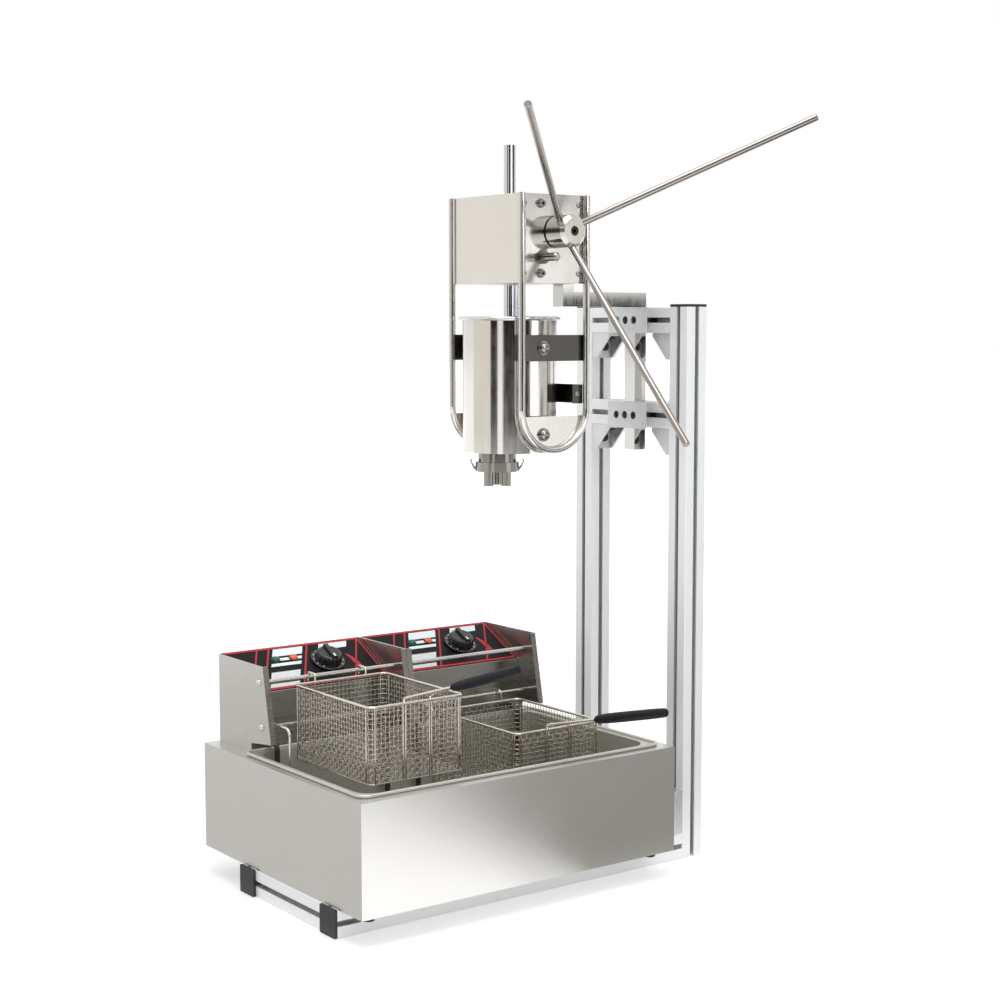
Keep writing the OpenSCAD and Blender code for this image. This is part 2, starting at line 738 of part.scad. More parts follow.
module wing_nut() {
    ring_h = 14;
    ring_r = neck_d / 2 + free_gap;
    reach = wing_span / 2 - ring_r;
    rise = ring_h + 1;
    color("silver") translate([0, neck_y, ring_z]) {
        difference() {
            cylinder(r = ring_r + 3.5, h = ring_h);
            translate([0, 0, 2]) cylinder(r = ring_r, h = ring_h);
            translate([0, 0, -cut]) cylinder(d = neck_d - 8, h = 4);
        }
        for (a = [53, 233]) rotate(a) translate([0, 7, 0]) rotate([90, 0, 0]) linear_extrude(14)
            polygon(concat(
                [for (i = [0:8]) [ring_r + reach * i / 8, rise * pow(i / 8, 2)]],
                arc([wing_span / 2 - 1.6, rise + 1.1], 1.6, 0, 150, 5),
                [for (i = [7:-1:0]) [ring_r + reach * i / 8, 4 + (rise - 1.6) * pow(i / 8, 1.6)]]));
    }
}

// The rack's teeth, from z0 up, as the outline of a bar in the YZ plane
lowest_tooth = -floor((travel_up + tooth_pitch) / tooth_pitch);
highest_tooth = floor(travel_down / tooth_pitch);
rack_lean = tan(20);
function rack_tooth(k) = let (z = crank_z + (k + 0.5) * tooth_pitch, half = tooth_pitch / 4 - backlash / 4)
    [[rack_off - rack_ded, z - half - rack_ded * rack_lean],
     [rack_off + rack_add, z - half + rack_add * rack_lean],
     [rack_off + rack_add, z + half - rack_add * rack_lean],
     [rack_off - rack_ded, z + half + rack_ded * rack_lean]];

// The rod, milled flat behind, with the rack set into the flat
module rack_rod() {
    root = rack_off - rack_ded;
    z0 = crank_z + lowest_tooth * tooth_pitch - 3;
    z1 = crank_z + (highest_tooth + 1) * tooth_pitch;
    teeth = [for (k = [lowest_tooth:highest_tooth]) each rack_tooth(k)];
    color("silver") {
        translate([0, rod_y, 0]) difference() {
            translate([0, 0, piston_z + 4]) cylinder(d = rod_d, h = box_top + rod_stub - piston_z - 4);
            block([-rod_d, root, z0], [rod_d, rod_d, z1 + 6]);
        }
        translate([-rack_w / 2, rod_y, 0]) rotate([90, 0, 90]) linear_extrude(rack_w)
            polygon(concat([[2, z0], [root, z0]], teeth, [[root, z1], [2, z1]]));
    }
}

seal_groove = 5;
module piston() {
    color("silver") translate([0, rod_y, piston_z]) difference() {
        union() {
            cylinder(r = cyl_in - 1.5, h = piston_t, $fn = 96);
            cylinder(d = rod_d + 20, h = piston_t + piston_boss);
        }
        translate([0, 0, 4]) cylinder(d = rod_d + 2 * slip, h = piston_t + piston_boss);
        translate([0, 0, piston_t / 2 - 3]) difference() {
            cylinder(r = cyl_in, h = 6);
            translate([0, 0, -cut]) cylinder(r = cyl_in - seal_groove, h = 6 + 2 * cut);
        }
    }
}

module piston_seal() {
    color("#303030") translate([0, rod_y, piston_z + piston_t / 2 - 2.9]) difference() {
        cylinder(r = cyl_in - free_gap, h = 5.8, $fn = 96);
        translate([0, 0, -cut]) cylinder(r = cyl_in - seal_groove + slip, h = 8, $fn = 96);
    }
}

module piston_nut() {
    color("silver") translate([0, rod_y, piston_z + piston_t + piston_boss]) difference() {
        cylinder(d = rod_d + 13, h = nut_h, $fn = 6);
        translate([0, 0, -cut]) cylinder(d = rod_d + 2 * slip, h = nut_h + 2 * cut);
    }
}

// ---- pinion, crank and lock plunger ----
base_r = pitch_r * cos(20);
tip_r = pitch_r + gear_m;
root_r = pitch_r - gear_m;
function inv_angle(r) = let (a = acos(min(1, base_r / r))) tan(a) * 180 / PI - a;
half_tooth = 90 / gear_z - backlash / 4 / pitch_r * 180 / PI + inv_angle(pitch_r);
flank = [for (i = [0:5]) let (r = base_r + (tip_r - base_r) * i / 5) [r, half_tooth - inv_angle(r)]];
function polar(r, a) = r * [cos(a), sin(a)];
function gear_tooth(c) = concat([polar(root_r, c - half_tooth)], [for (p = flank) polar(p[0], c - p[1])],
    [for (i = [5:-1:0]) polar(flank[i][0], c + flank[i][1])], [polar(root_r, c + half_tooth)]);

module pinion_shaft() {
    color("silver") {
        translate([-gear_w / 2, crank_y, crank_z]) rotate([90, 0, 90]) linear_extrude(gear_w)
            polygon([for (k = [0:gear_z - 1]) each gear_tooth(180 + 360 * k / gear_z)]);
        x_rod(-box_w / 2 - 5, box_w / 2 + 20, crank_y, crank_z, shaft_d);
        x_rod(-plate_x + 4, -gear_w / 2 - 6, crank_y, crank_z, shaft_d + 6);
        x_rod(gear_w / 2 + 6, plate_x - 4, crank_y, crank_z, shaft_d + 6);
    }
}

module shaft_bushes() {
    color("goldenrod") for (s = [0, 1]) mirror([s, 0, 0]) difference() {
        union() {
            x_rod(plate_x - 3, box_w / 2 + 1, crank_y, crank_z, shaft_d + 8);
            x_rod(box_w / 2, box_w / 2 + 2, crank_y, crank_z, shaft_d + 14);
        }
        x_rod(plate_x - 4, box_w / 2 + 4, crank_y, crank_z, shaft_d + 2 * slip);
    }
}

hub_x0 = box_w / 2 + 2 + free_gap;
hub_x1 = hub_x0 + hub_l;
spoke_root = [hub_x1 - 14, 15];              // along X, and out from the shaft's axis
// A child along +Z, placed at a spoke's root and turned along it
module each_spoke() {
    for (k = [0:spokes - 1])
        translate([spoke_root[0], crank_y, crank_z]) rotate([spoke_turn - 90 - 360 * k / spokes, 0, 0])
            translate([0, 0, spoke_root[1]]) rotate([0, spoke_slant, 0]) children();
}

module crank_hub() {
    color("silver") difference() {
        union() {
            x_rod(hub_x0, hub_x1 - 5, crank_y, crank_z, hub_d);
            translate([hub_x1 - 5, crank_y, crank_z]) rotate([0, 90, 0])
                cylinder(d1 = hub_d, d2 = hub_d - 10, h = 5);
        }
        x_rod(hub_x0 - cut, box_w / 2 + 20.2, crank_y, crank_z, shaft_d + 2 * slip);
        x_rod(hub_x0, hub_x1 + cut, crank_y, crank_z, 8.4);
        x_rod(hub_x1 - 8, hub_x1 + cut, crank_y, crank_z, 14);
        each_spoke() cylinder(d = spoke_d + 2 * slip, h = hub_d);
    }
}

module crank_spokes() {
    color("silver") each_spoke() {
        translate([0, 0, 0.2]) cylinder(d = spoke_d, h = spoke_l - 1.4);
        translate([0, 0, spoke_l - 1.2]) cylinder(d1 = spoke_d, d2 = spoke_d - 2.4, h = 1.2);
    }
}

module hub_screw() {
    color("dimgray") difference() {
        union() {
            x_rod(hub_x1 - 8, hub_x1 - 1, crank_y, crank_z, 13);
            x_rod(box_w / 2 + 20.2, hub_x1 - 7, crank_y, crank_z, 8);
        }
        translate([hub_x1 - 5, crank_y, crank_z]) rotate([0, 90, 0]) cylinder(d = 7, h = 6, $fn = 6);
    }
}

module plunger_bush() {
    color("gray") difference() {
        union() {
            translate([box_w / 2, plunger_y, plunger_z]) rotate([0, 90, 0]) cylinder(d = 19, h = 8, $fn = 6);
            x_rod(plate_x - 12, box_w / 2 + 1, plunger_y, plunger_z, 12);
        }
        x_rod(plate_x - 13, box_w / 2 + 9, plunger_y, plunger_z, 8 + 2 * slip);
    }
}

module lock_plunger() {
    x0 = box_w / 2 + 8 + free_gap;
    color("dimgray") {
        x_rod(rod_d / 2 + 0.6, x0 + 1, plunger_y, plunger_z, 8);
        x_rod(x0, x0 + plunger_l - 3, plunger_y, plunger_z, 12);
        translate([x0 + plunger_l - 3, plunger_y, plunger_z]) rotate([0, 90, 0]) cylinder(d1 = 12, d2 = 8, h = 3);
    }
}

// ---- fryer ----
module fryer_housing() {
    open_l = pan_l - 2 * pan_rim + 2;
    open_w = pan_w - 2 * pan_rim + 2;
    color("lightgray") difference() {
        block([fry_x0, fry_y0, fry_z0], [fry_x1, fry_y1, fry_z1]);
        translate([fry_x0 + sheet, fry_y0 + sheet, fry_z0 + sheet])
            cube([fryer_d - 2 * sheet, fryer_l - 2 * sheet, fryer_h - 2 * sheet]);
        translate([pan_xm, pan_ym, fry_z1 - 10]) linear_extrude(20)
            polygon(round_rect(open_w, open_l, well_r + 1));
    }
}

module fryer_feet() {
    inset = 26;
    color("#222222") for (x = [fry_x0 + inset, fry_x1 - inset], y = [fry_y0 + inset, fry_y1 - inset])
        translate([x, y, fry_z0 - foot_h]) cylinder(d1 = foot_d - 3, d2 = foot_d, h = foot_h);
}

module oil_pan() {
    r = well_r;
    w = pan_w - pan_bead;
    l = pan_l - pan_bead;
    in_w = pan_w - 2 * pan_rim;
    in_l = pan_l - 2 * pan_rim;
    color("silver") {
        translate([pan_xm, pan_ym, 0]) difference() {
            union() {
                translate([0, 0, fry_z1]) linear_extrude(pan_wall) polygon(round_rect(w, l, pan_r - pan_bead / 2));
                translate([0, 0, fry_z1 - pan_depth + 4]) linear_extrude(pan_depth - 3)
                    polygon(round_rect(in_w, in_l, r));
            }
            translate([0, 0, fry_z1 - pan_depth + 4 + pan_wall]) linear_extrude(pan_depth + 10)
                polygon(round_rect(in_w - 2 * pan_wall, in_l - 2 * pan_wall, r - pan_wall));
        }
        translate([pan_xm, pan_ym, fry_z1 + pan_bead / 2]) wire_loop(w, l, pan_r - pan_bead / 2, pan_bead);
    }
}

// A control head: a folded case between two side plates that reach forward as wings
module control_head(k) {
    y0 = head_y[k] - case_w / 2;
    y1 = head_y[k] + case_w / 2;
    t = sheet;
    outer = [[fry_x0, fry_z1], [fry_x0, panel_high[1]], panel_low, [case_front, fry_z1]];
    inner = [[fry_x0 + t, fry_z1 + t], [fry_x0 + t, panel_high[1] - 2 * t],
             panel_low + [-t, -t], [case_front - t, fry_z1 + t]];
    color("lightgray") {
        translate([0, y1 - t - seam, 0]) rotate([90, 0, 0])
            linear_extrude(case_w - 2 * (t + seam)) difference() {
                polygon(outer);
                polygon(inner);
            }
        for (y = [y0 + t, y1]) translate([0, y, 0]) rotate([90, 0, 0]) linear_extrude(t) difference() {
            polygon([[fry_x0, fry_z1], [fry_x0, panel_high[1]], [wing_top, panel_high[1]],
                     [wing_low, wing_foot], [case_front + 2, fry_z1 + 14], [case_front + 2, fry_z1]]);
            translate(rod_up) circle(d = rod_up_d + 0.2);
            translate(rod_low) circle(d = rod_low_d + 0.2);
        }
        for (y = [y0 + lip_w, y1]) translate([0, y, 0]) rotate([90, 0, 0]) linear_extrude(lip_w)
            polygon([[wing_top - t, panel_high[1]], [wing_top, panel_high[1]],
                     [wing_low, wing_foot], [wing_low - t, wing_foot]]);
        translate([fry_x0, head_y[k], fry_z1 + 40]) rotate([0, -90, 0]) cylinder(d = 20, h = 12);
    }
}

// Children on a control head's sloping panel: x down the slope, y along it, z out of it
module on_panel(k, x, y) {
    translate([panel_high[0], head_y[k] + y, panel_high[1]]) rotate([0, panel_tilt, 0])
        translate([x, 0, 0]) children();
}

panel_t = 1.2;
lamp_at = 32;                                // lamps and knob down the slope
knob_at = 50;
lamp_sides = [-44, -13];                     // and along it
knob_side = 39;
lamp_d = 10;
module control_panels() {
    color("#1a1a1a") for (k = [0, 1]) on_panel(k, 0, 0) difference() {
        translate([1, 2 * sheet - case_w / 2, 0]) cube([panel_len - 3, case_w - 4 * sheet, panel_t]);
        translate([knob_at, knob_side, -cut]) cylinder(d = 8, h = 4);
        for (y = lamp_sides) translate([lamp_at, y, -cut]) cylinder(d = lamp_d + 0.2, h = 4);
    }
}

module indicator_lamps() {
    for (k = [0, 1], i = [0, 1]) color(i == 0 ? "green" : "orange") on_panel(k, lamp_at, lamp_sides[i]) {
        cylinder(d = lamp_d, h = 3);
        translate([0, 0, 3]) cylinder(d1 = lamp_d, d2 = 0.6 * lamp_d, h = 2);
    }
}

module knob(k) {
    skirt_h = 4;
    body_h = 12;
    bar_l = 0.77 * knob_d;
    color("#1f1f1f") on_panel(k, knob_at, knob_side) {
        translate([0, 0, 0.2]) cylinder(d = 6, h = skirt_h);
        translate([0, 0, panel_t + free_gap]) cylinder(d = knob_d, h = skirt_h);
        translate([0, 0, panel_t + skirt_h]) cylinder(d1 = 0.82 * knob_d, d2 = 0.68 * knob_d, h = body_h);
        translate([-bar_l / 2, -4, panel_t + skirt_h + body_h / 2]) cube([bar_l, 8, body_h - 1]);
    }
}

module basket_rods() {
    color("silver") for (k = [0, 1]) {
        y0 = head_y[k] - case_w / 2;
        for (r = [[rod_up, rod_up_d], [rod_low, rod_low_d]])
            translate([r[0][0], y0 - (k == 0 ? 2.5 : 0), r[0][1]]) rotate([-90, 0, 0]) {
                cylinder(d = r[1], h = case_w + 2.5);
                if (k == 0) cylinder(d = 9, h = 2.5);
                else translate([0, 0, case_w]) cylinder(d = 9, h = 2.5);
            }
    }
}

element_d = 8;
element_z = fry_z1 - pan_depth + 34;
module heating_elements() {
    x0 = pan_x0 + pan_rim + 12;
    x1 = pan_x1 - pan_rim - 34;
    xf = case_front - 0.4;
    span = 32;
    ze = element_z;
    z1 = fry_z1 + 12;
    color("#555555") for (k = [0, 1]) translate([0, head_y[k], 0]) {
        bent_rod([[xf, -3 * span, z1], [x0, -3 * span, z1], [x0, -3 * span, ze], [x1, -3 * span, ze],
                  [x1, -span, ze], [x0 + 30, -span, ze], [x0 + 30, span, ze], [x1, span, ze],
                  [x1, 3 * span, ze], [x0, 3 * span, ze], [x0, 3 * span, z1], [xf, 3 * span, z1]],
                 element_d, 8);
    }
}

module thermostat_probes() {
    z1 = fry_z1 + 49;
    x1 = case_front + 94;
    color("silver") for (k = [0, 1]) translate([0, head_y[k] - case_w / 2 + 12, 0])
        bent_rod([[case_front - 1.9, 0, z1], [x1, 0, z1], [x1, 0, element_z - 10]], 4, 12);
}

// ---- baskets ----
// A flat net, w by h, standing on the XY plane, with a wire's margin all round
module net(w, h, t) {
    pitch = mesh_gap + mesh_wire;
    nx = floor((w - mesh_wire) / pitch);
    ny = floor((h - mesh_wire) / pitch);
    mx = (w - nx * pitch + mesh_wire) / 2;
    my = (h - ny * pitch + mesh_wire) / 2;
    linear_extrude(t) difference() {
        square([w, h]);
        for (i = [0:nx - 1], j = [0:ny - 1]) translate([mx + i * pitch, my + j * pitch]) square(mesh_gap);
    }
}

module basket(k) {
    t = mesh_wire;
    w = basket_w - rim_wire;
    d = basket_d - rim_wire;
    h = basket_h - rim_wire / 2;
    color("silver") translate([basket_x0 + rim_wire / 2, basket_y[k] - d / 2, basket_z[k] - basket_h]) {
        net(w, d, t);
        for (x = [0, w - t]) translate([x, 0, t + seam]) rotate([90, 0, 90]) net(d, h - t - seam, t);
        for (y = [t, d]) translate([t + seam, y, t + seam]) rotate([90, 0, 0])
            net(w - 2 * (t + seam), h - t - seam, t);
    }
}

module basket_frame(k) {
    $fn = 36;
    r = 10;
    z = basket_z[k];
    rod = k == 0 ? rod_up : rod_low;
    top = rod[1] + (k == 0 ? rod_up_d : rod_low_d) / 2 + hook_wire / 2 + free_gap;
    front = basket_x0 + basket_w - rim_wire / 2;
    back = basket_x0 + rim_wire / 2;
    color("silver") translate([0, basket_y[k], 0]) {
        translate([(front + back) / 2, 0, z]) wire_loop(front - back, basket_d - rim_wire, r, rim_wire);
        for (s = [-1, 1]) {
            bent_rod([[back, 44 * s, z], [back, 44 * s, top], [back - hook_span, 44 * s, top],
                      [back - hook_span, 44 * s, top - 12]], hook_wire, 4);
            bent_rod([[front, 22 * s, z], [front, 22 * s, z + handle_step],
                      [front + grip_start, 4 * s, grip_z(k)]], rim_wire, 3);
        }
    }
}

module basket_grip(k) {
    color("#1f1f1f") translate([basket_x0 + basket_w - rim_wire / 2 + grip_start, basket_y[k], grip_z(k)])
            rotate([0, 90 - handle_rise[k], 0]) {
        cylinder(d1 = grip_d - 3, d2 = grip_d, h = 6);
        translate([0, 0, 6]) cylinder(d = grip_d, h = grip_l - 12);
        translate([0, 0, grip_l - 6]) cylinder(d1 = grip_d, d2 = grip_d - 5, h = 6);
    }
}

post(1);  // post_right
post(-1);  // post_left
rail(1);  // rail_right
rail(-1);  // rail_left
cross_member(rail_front + profile / 2, profile / 2);  // base_cross_front
cross_member(0, profile / 2);  // base_cross_rear
cross_member(0, beam_z_up);  // upper_beam
cross_member(0, beam_z_low);  // lower_beam
beam_gussets();
rail_gussets();
slot_bolts();
profile_caps();
mounting_arm();
clamp_plates();
side_plate(1);  // side_plate_right
side_plate(-1);  // side_plate_left
front_cover();
rear_cover();
end_plates();
cover_screws();
rod_guides();
guide_bolts();
frame_rod(1);  // frame_rod_right
frame_rod(-1);  // frame_rod_left
upper_bands();
lower_plates();
rear_strip();
cylinder_body();  // cylinder
cylinder_bolts();
nozzle_plate();
wing_nut();
rack_rod();
piston();
piston_seal();
piston_nut();
pinion_shaft();
shaft_bushes();
crank_hub();
crank_spokes();
hub_screw();
plunger_bush();
lock_plunger();
fryer_housing();
fryer_feet();
oil_pan();
control_head(0);  // control_head_left
control_head(1);  // control_head_right
control_panels();
indicator_lamps();
knob(0);  // knob_left
knob(1);  // knob_right
basket_rods();
heating_elements();
thermostat_probes();
basket(0);  // basket_left
basket(1);  // basket_right
basket_frame(0);  // basket_frame_left
basket_frame(1);  // basket_frame_right
basket_grip(0);  // basket_grip_left
basket_grip(1);  // basket_grip_right
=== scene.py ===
# %% [markdown]
# # Churro maker
# A dough press on a slotted aluminium stand, set over a counter fryer with two wire baskets.
# The working model comes from CAD: every rigid piece is already at its real size and place.
# This lesson dresses it. It makes the finishes, and models what CAD left plain: woven baskets,
# printed panels, knobs, lamps and grips. Everything is in metres, X to the machine's right,
# Y to its back and Z up.

# %% Load the frame
import json
import math

import bpy
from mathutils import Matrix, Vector


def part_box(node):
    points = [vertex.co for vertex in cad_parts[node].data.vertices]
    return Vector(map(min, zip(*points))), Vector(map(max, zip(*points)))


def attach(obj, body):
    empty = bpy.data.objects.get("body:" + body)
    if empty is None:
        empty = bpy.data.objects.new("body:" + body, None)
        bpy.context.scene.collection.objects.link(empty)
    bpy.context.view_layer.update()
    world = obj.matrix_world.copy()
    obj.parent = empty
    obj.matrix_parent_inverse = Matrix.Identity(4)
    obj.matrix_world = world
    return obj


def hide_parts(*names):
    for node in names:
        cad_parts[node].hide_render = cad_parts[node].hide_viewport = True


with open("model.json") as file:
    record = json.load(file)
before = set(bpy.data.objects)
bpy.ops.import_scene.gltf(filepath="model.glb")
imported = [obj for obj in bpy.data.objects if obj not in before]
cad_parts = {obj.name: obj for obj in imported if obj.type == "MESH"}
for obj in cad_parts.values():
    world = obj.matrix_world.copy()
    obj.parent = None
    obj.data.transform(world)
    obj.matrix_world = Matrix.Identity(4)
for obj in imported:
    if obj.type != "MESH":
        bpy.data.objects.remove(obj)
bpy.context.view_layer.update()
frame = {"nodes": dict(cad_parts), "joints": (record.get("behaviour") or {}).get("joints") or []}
nodes = frame["nodes"]
loaded_materials = len(bpy.data.materials)
MM = 0.001
SIDES = ("left", "right")

# %% [markdown]
# ## Camera
# A photograph of a machine with many straight edges lets you solve the camera: the stand's parallel
# edges give the direction, and a known length gives the distance. The values below are that
# solution. The lens is the focal length in pixels of a 1000 pixel picture, times the sensor's 36 mm.

# %% Place the camera
CAMERA_PLACE = (2.1717, -1.8817, 0.8229)
CAMERA_YAW = 53.468
CAMERA_DOWN = 5.512
FOCAL_PIXELS = 1816.1
PICTURE_PIXELS = 1000
SENSOR_MM = 36

camera_data = bpy.data.cameras.new("camera")
camera_data.sensor_width = SENSOR_MM
camera_data.lens = FOCAL_PIXELS / PICTURE_PIXELS * SENSOR_MM
camera = bpy.data.objects.new("camera", camera_data)
camera.location = CAMERA_PLACE
camera.rotation_euler = (math.radians(90 - CAMERA_DOWN), 0, math.radians(CAMERA_YAW))
bpy.context.collection.objects.link(camera)
bpy.context.scene.camera = camera
bpy.context.scene.view_settings.view_transform = "Standard"
print("lens:", round(camera_data.lens, 2), "mm")

# %% [markdown]
# ## Small helpers for materials
# A material in Blender is a graph of nodes. One function that adds a node, sets its values and feeds
# its inputs keeps each graph short enough to read. Colours are written as the hex values a painter
# or a web page would use, and a second function turns them into the linear light that Blender adds
# up. The Mix node has one set of sockets for numbers, one for vectors and one for colours, so the
# colours' sockets are named here by their place in the row.

# %% Helpers for materials
MIX_FIRST, MIX_SECOND, MIX_RESULT = 6, 7, 2


def linear(hex_colour):
    """An sRGB hex colour as linear RGBA, by the sRGB standard's own formula"""
    parts = [int(hex_colour[i:i + 2], 16) / 255 for i in (1, 3, 5)]
    return [p / 12.92 if p <= 0.04045 else ((p + 0.055) / 1.055) ** 2.4 for p in parts] + [1.0]


def add(tree, kind, settings=(), links=()):
    """Adds a node; settings fill its sockets or properties, links feed its sockets"""
    made = tree.nodes.new(kind)
    for key, value in dict(settings).items():
        if isinstance(key, int) or key in made.inputs:
            made.inputs[key].default_value = value
        else:
            setattr(made, key, value)
    for key, source in dict(links).items():
        tree.links.new(source, made.inputs[key])
    return made


def new_material(name, **shader_values):
    """A material with one Principled shader, and its values set by socket name"""
    made = bpy.data.materials.new(name)
    made.use_nodes = True
    shader = made.node_tree.nodes["Principled BSDF"]
    for key, value in shader_values.items():
        shader.inputs[key.replace("_", " ").title().replace("Ior", "IOR")].default_value = value
    return made, made.node_tree, shader


def streaks(tree, across_mm, along_mm, axis, detail=3.0):
    """Noise drawn out along one axis of the object: the mark that a belt or a die leaves"""
    place = add(tree, "ShaderNodeTexCoord")
    scale = [1 / (across_mm * MM)] * 3
    scale["XYZ".index(axis)] = 1 / (along_mm * MM)
    mapping = add(tree, "ShaderNodeMapping", {"Scale": scale}, {"Vector": place.outputs["Object"]})
    return add(tree, "ShaderNodeTexNoise", {"Scale": 1.0, "Detail": detail, "Roughness": 0.6},
               {"Vector": mapping.outputs["Vector"]})


def spread(tree, source, low, high, start=0.3, end=0.7):
    """Turns values from start to end into values from low to high"""
    return add(tree, "ShaderNodeMapRange",
               {"From Min": start, "From Max": end, "To Min": low, "To Max": high},
               {"Value": source}).outputs["Result"]


def blend_colours(tree, factor, first, second):
    """Mixes two hex colours by a factor"""
    mix = add(tree, "ShaderNodeMix",
              {"data_type": "RGBA", MIX_FIRST: linear(first), MIX_SECOND: linear(second)}, {0: factor})
    return mix.outputs[MIX_RESULT]


def raise_bumps(tree, shader, height, depth_mm):
    """Feeds a height, in millimetres of relief, to the shader's normal"""
    bump = add(tree, "ShaderNodeBump", {"Strength": 1.0, "Distance": depth_mm * MM},
               {"Height": height})
    tree.links.new(bump.outputs["Normal"], shader.inputs["Normal"])


# %% [markdown]
# ## Metals
# Stainless steel is one metal with many faces. A belt leaves it brushed, with fine lines that
# stretch the highlights. A wheel leaves it polished, and then fingers leave smudges. Anodised
# aluminium is paler and duller, with faint lines from the die that shaped it. Its skin is clear
# oxide over metal, so it is set less than half metallic, which gives it the milky look. The pan is
# dulled by old oil, so it is set two thirds metallic. All of them are the same recipe: two colours
# mixed by streaks, a roughness that follows the streaks and some large smudges, and a shallow bump.
# Real belt lines are about 0.1 mm wide. That is finer than a pixel here, so they are drawn about
# 1 mm wide, which keeps the look of lines.

# %% Drawn, brushed and polished metals
LINE_SHARE = 0.65
CLOUD_SHARE = 0.35
CLOUD_MM = (55, 80)
QUARTER_TURN = 0.25


def metal(name, light, dark, rough, axis, across_mm, along_mm, relief_mm, anisotropic=0.0,
          smudge=0.04, metallic=1.0):
    """A bare metal: streaks along an axis, and roughness from rough[0] to rough[1]"""
    made, tree, shader = new_material(name, metallic=metallic, anisotropic=anisotropic)
    lines = streaks(tree, across_mm, along_mm, axis).outputs["Fac"]
    clouds = streaks(tree, *CLOUD_MM, axis, 4).outputs["Fac"]
    both = add(tree, "ShaderNodeMath", {"operation": "MULTIPLY_ADD", 1: LINE_SHARE},
               {0: lines, 2: spread(tree, clouds, 0.0, CLOUD_SHARE, 0.2, 0.8)}).outputs[0]
    tree.links.new(blend_colours(tree, both, dark, light), shader.inputs["Base Color"])
    roughness = add(tree, "ShaderNodeMath", {"operation": "ADD"},
                    {0: spread(tree, lines, *rough), 1: spread(tree, clouds, -smudge, smudge)})
    tree.links.new(roughness.outputs[0], shader.inputs["Roughness"])
    raise_bumps(tree, shader, lines, relief_mm)
    if anisotropic:
        shader.inputs["Anisotropic Rotation"].default_value = QUARTER_TURN
        grain = add(tree, "ShaderNodeTangent", {"direction_type": "RADIAL", "axis": "Z"})
        tree.links.new(grain.outputs["Tangent"], shader.inputs["Tangent"])
    return made


anodised = {axis: metal("anodised_aluminium_" + axis, "#F6F7F8", "#EBEDEE", (0.42, 0.54), axis,
                        1.4, 400, 0.004, metallic=0.4) for axis in "XYZ"}
fryer_sheet = metal("brushed_stainless_sheet", "#D6D5D2", "#D0CFCC", (0.28, 0.31), "Y",
                    0.9, 90, 0.0005, anisotropic=0.6, smudge=0.01)
head_sheet = metal("brushed_stainless_head", "#CCCBC7", "#C4C3BF", (0.26, 0.31), "Y",
                   0.9, 90, 0.001, anisotropic=0.5, smudge=0.02)
pan_steel = metal("drawn_stainless_pan", "#CFCDC6", "#C6C4BC", (0.36, 0.44), "Z",
                  2.0, 25, 0.001, smudge=0.02, metallic=0.65)
arm_tube = metal("ground_stainless_tube", "#CFCDC9", "#C3C1BD", (0.05, 0.10), "Z",
                 1.0, 60, 0.001, smudge=0.02)
satin_cover = metal("satin_stainless_cover", "#E3DFD7", "#D5D1C9", (0.36, 0.46), "X", 0.8, 60, 0.008)
polished_plate = metal("polished_stainless_plate", "#E2E0DB", "#D0CDC8", (0.13, 0.22), "Z",
                       0.9, 50, 0.006)
band_plate = metal("ground_stainless_band", "#64625F", "#52504D", (0.16, 0.26), "X", 0.9, 50, 0.008)
polished_tube = metal("turned_stainless", "#E3E0DC", "#D2CFCA", (0.09, 0.16), "Z", 0.8, 120, 0.004)
outlet_steel = metal("cast_stainless_outlet", "#A5A29D", "#85827D", (0.14, 0.24), "Z", 0.8, 12, 0.004)
bright_bar = metal("bright_round_bar", "#DEDCD9", "#C9C7C4", (0.10, 0.18), "Z", 0.7, 90, 0.004)
drawn_bar = metal("drawn_spoke_bar", "#A8A29D", "#8E8883", (0.10, 0.17), "Z", 0.7, 60, 0.006)
hard_chrome = metal("hard_chrome_rod", "#E0E1E8", "#CCCDD6", (0.05, 0.10), "Z", 0.8, 200, 0.002)
bright_wire = metal("bright_stainless_wire", "#EAE5DA", "#D2CCC0", (0.12, 0.22), "X", 1.5, 8, 0.01)
net_wire = metal("woven_stainless_wire", "#E2DCD1", "#A8A298", (0.08, 0.16), "X", 2.0, 6, 0.02)
turned_hub = metal("turned_stainless_hub", "#CDCAC3", "#B4B1A9", (0.12, 0.20), "X", 0.8, 30, 0.004)
bronze = metal("machined_bronze", "#B98E4E", "#94703A", (0.24, 0.36), "X", 0.8, 20, 0.01)
bolt_steel = metal("zinc_plated_bolt", "#B2B1AE", "#7C7B78", (0.16, 0.30), "X", 0.8, 6, 0.01)
black_bolt = metal("blackened_bolt", "#55534F", "#33312E", (0.32, 0.46), "X", 0.8, 6, 0.01)
hot_sheath = metal("heat_darkened_sheath", "#6B5F52", "#3F3B38", (0.34, 0.5), "X", 6, 30, 0.01)
print("metals:", len(bpy.data.materials) - loaded_materials)

# %% [markdown]
# Two darker colours here are painted shade. A darker colour is painted in the slots of the profiles
# and in the hollows of the cast pieces, where shade falls; its mask is ambient occlusion, which
# measures how closed in a point is. A darker colour is painted as shade on the control heads' sheets
# that face along X, toward the baskets; its mask is the direction of the surface. The third darker
# colour is real: the polishing wheel never reached the cylinder's cast outlet neck, and its mask is
# the height. Each is mixed into a finish by its mask.

# %% Masks for painted shade and the duller neck
SLOT_REACH = 14 * MM
NECK_LENGTH = 23 * MM
NECK_EDGE = 0.5 * MM


def darken_by_mask(made, colour, mask):
    """Mixes a darker colour into a finish by a mask"""
    tree = made.node_tree
    socket = tree.nodes["Principled BSDF"].inputs["Base Color"]
    clean = socket.links[0].from_socket
    mix = add(tree, "ShaderNodeMix", {"data_type": "RGBA", MIX_SECOND: linear(colour)},
              {0: mask(tree), MIX_FIRST: clean})
    tree.links.new(mix.outputs[MIX_RESULT], socket)


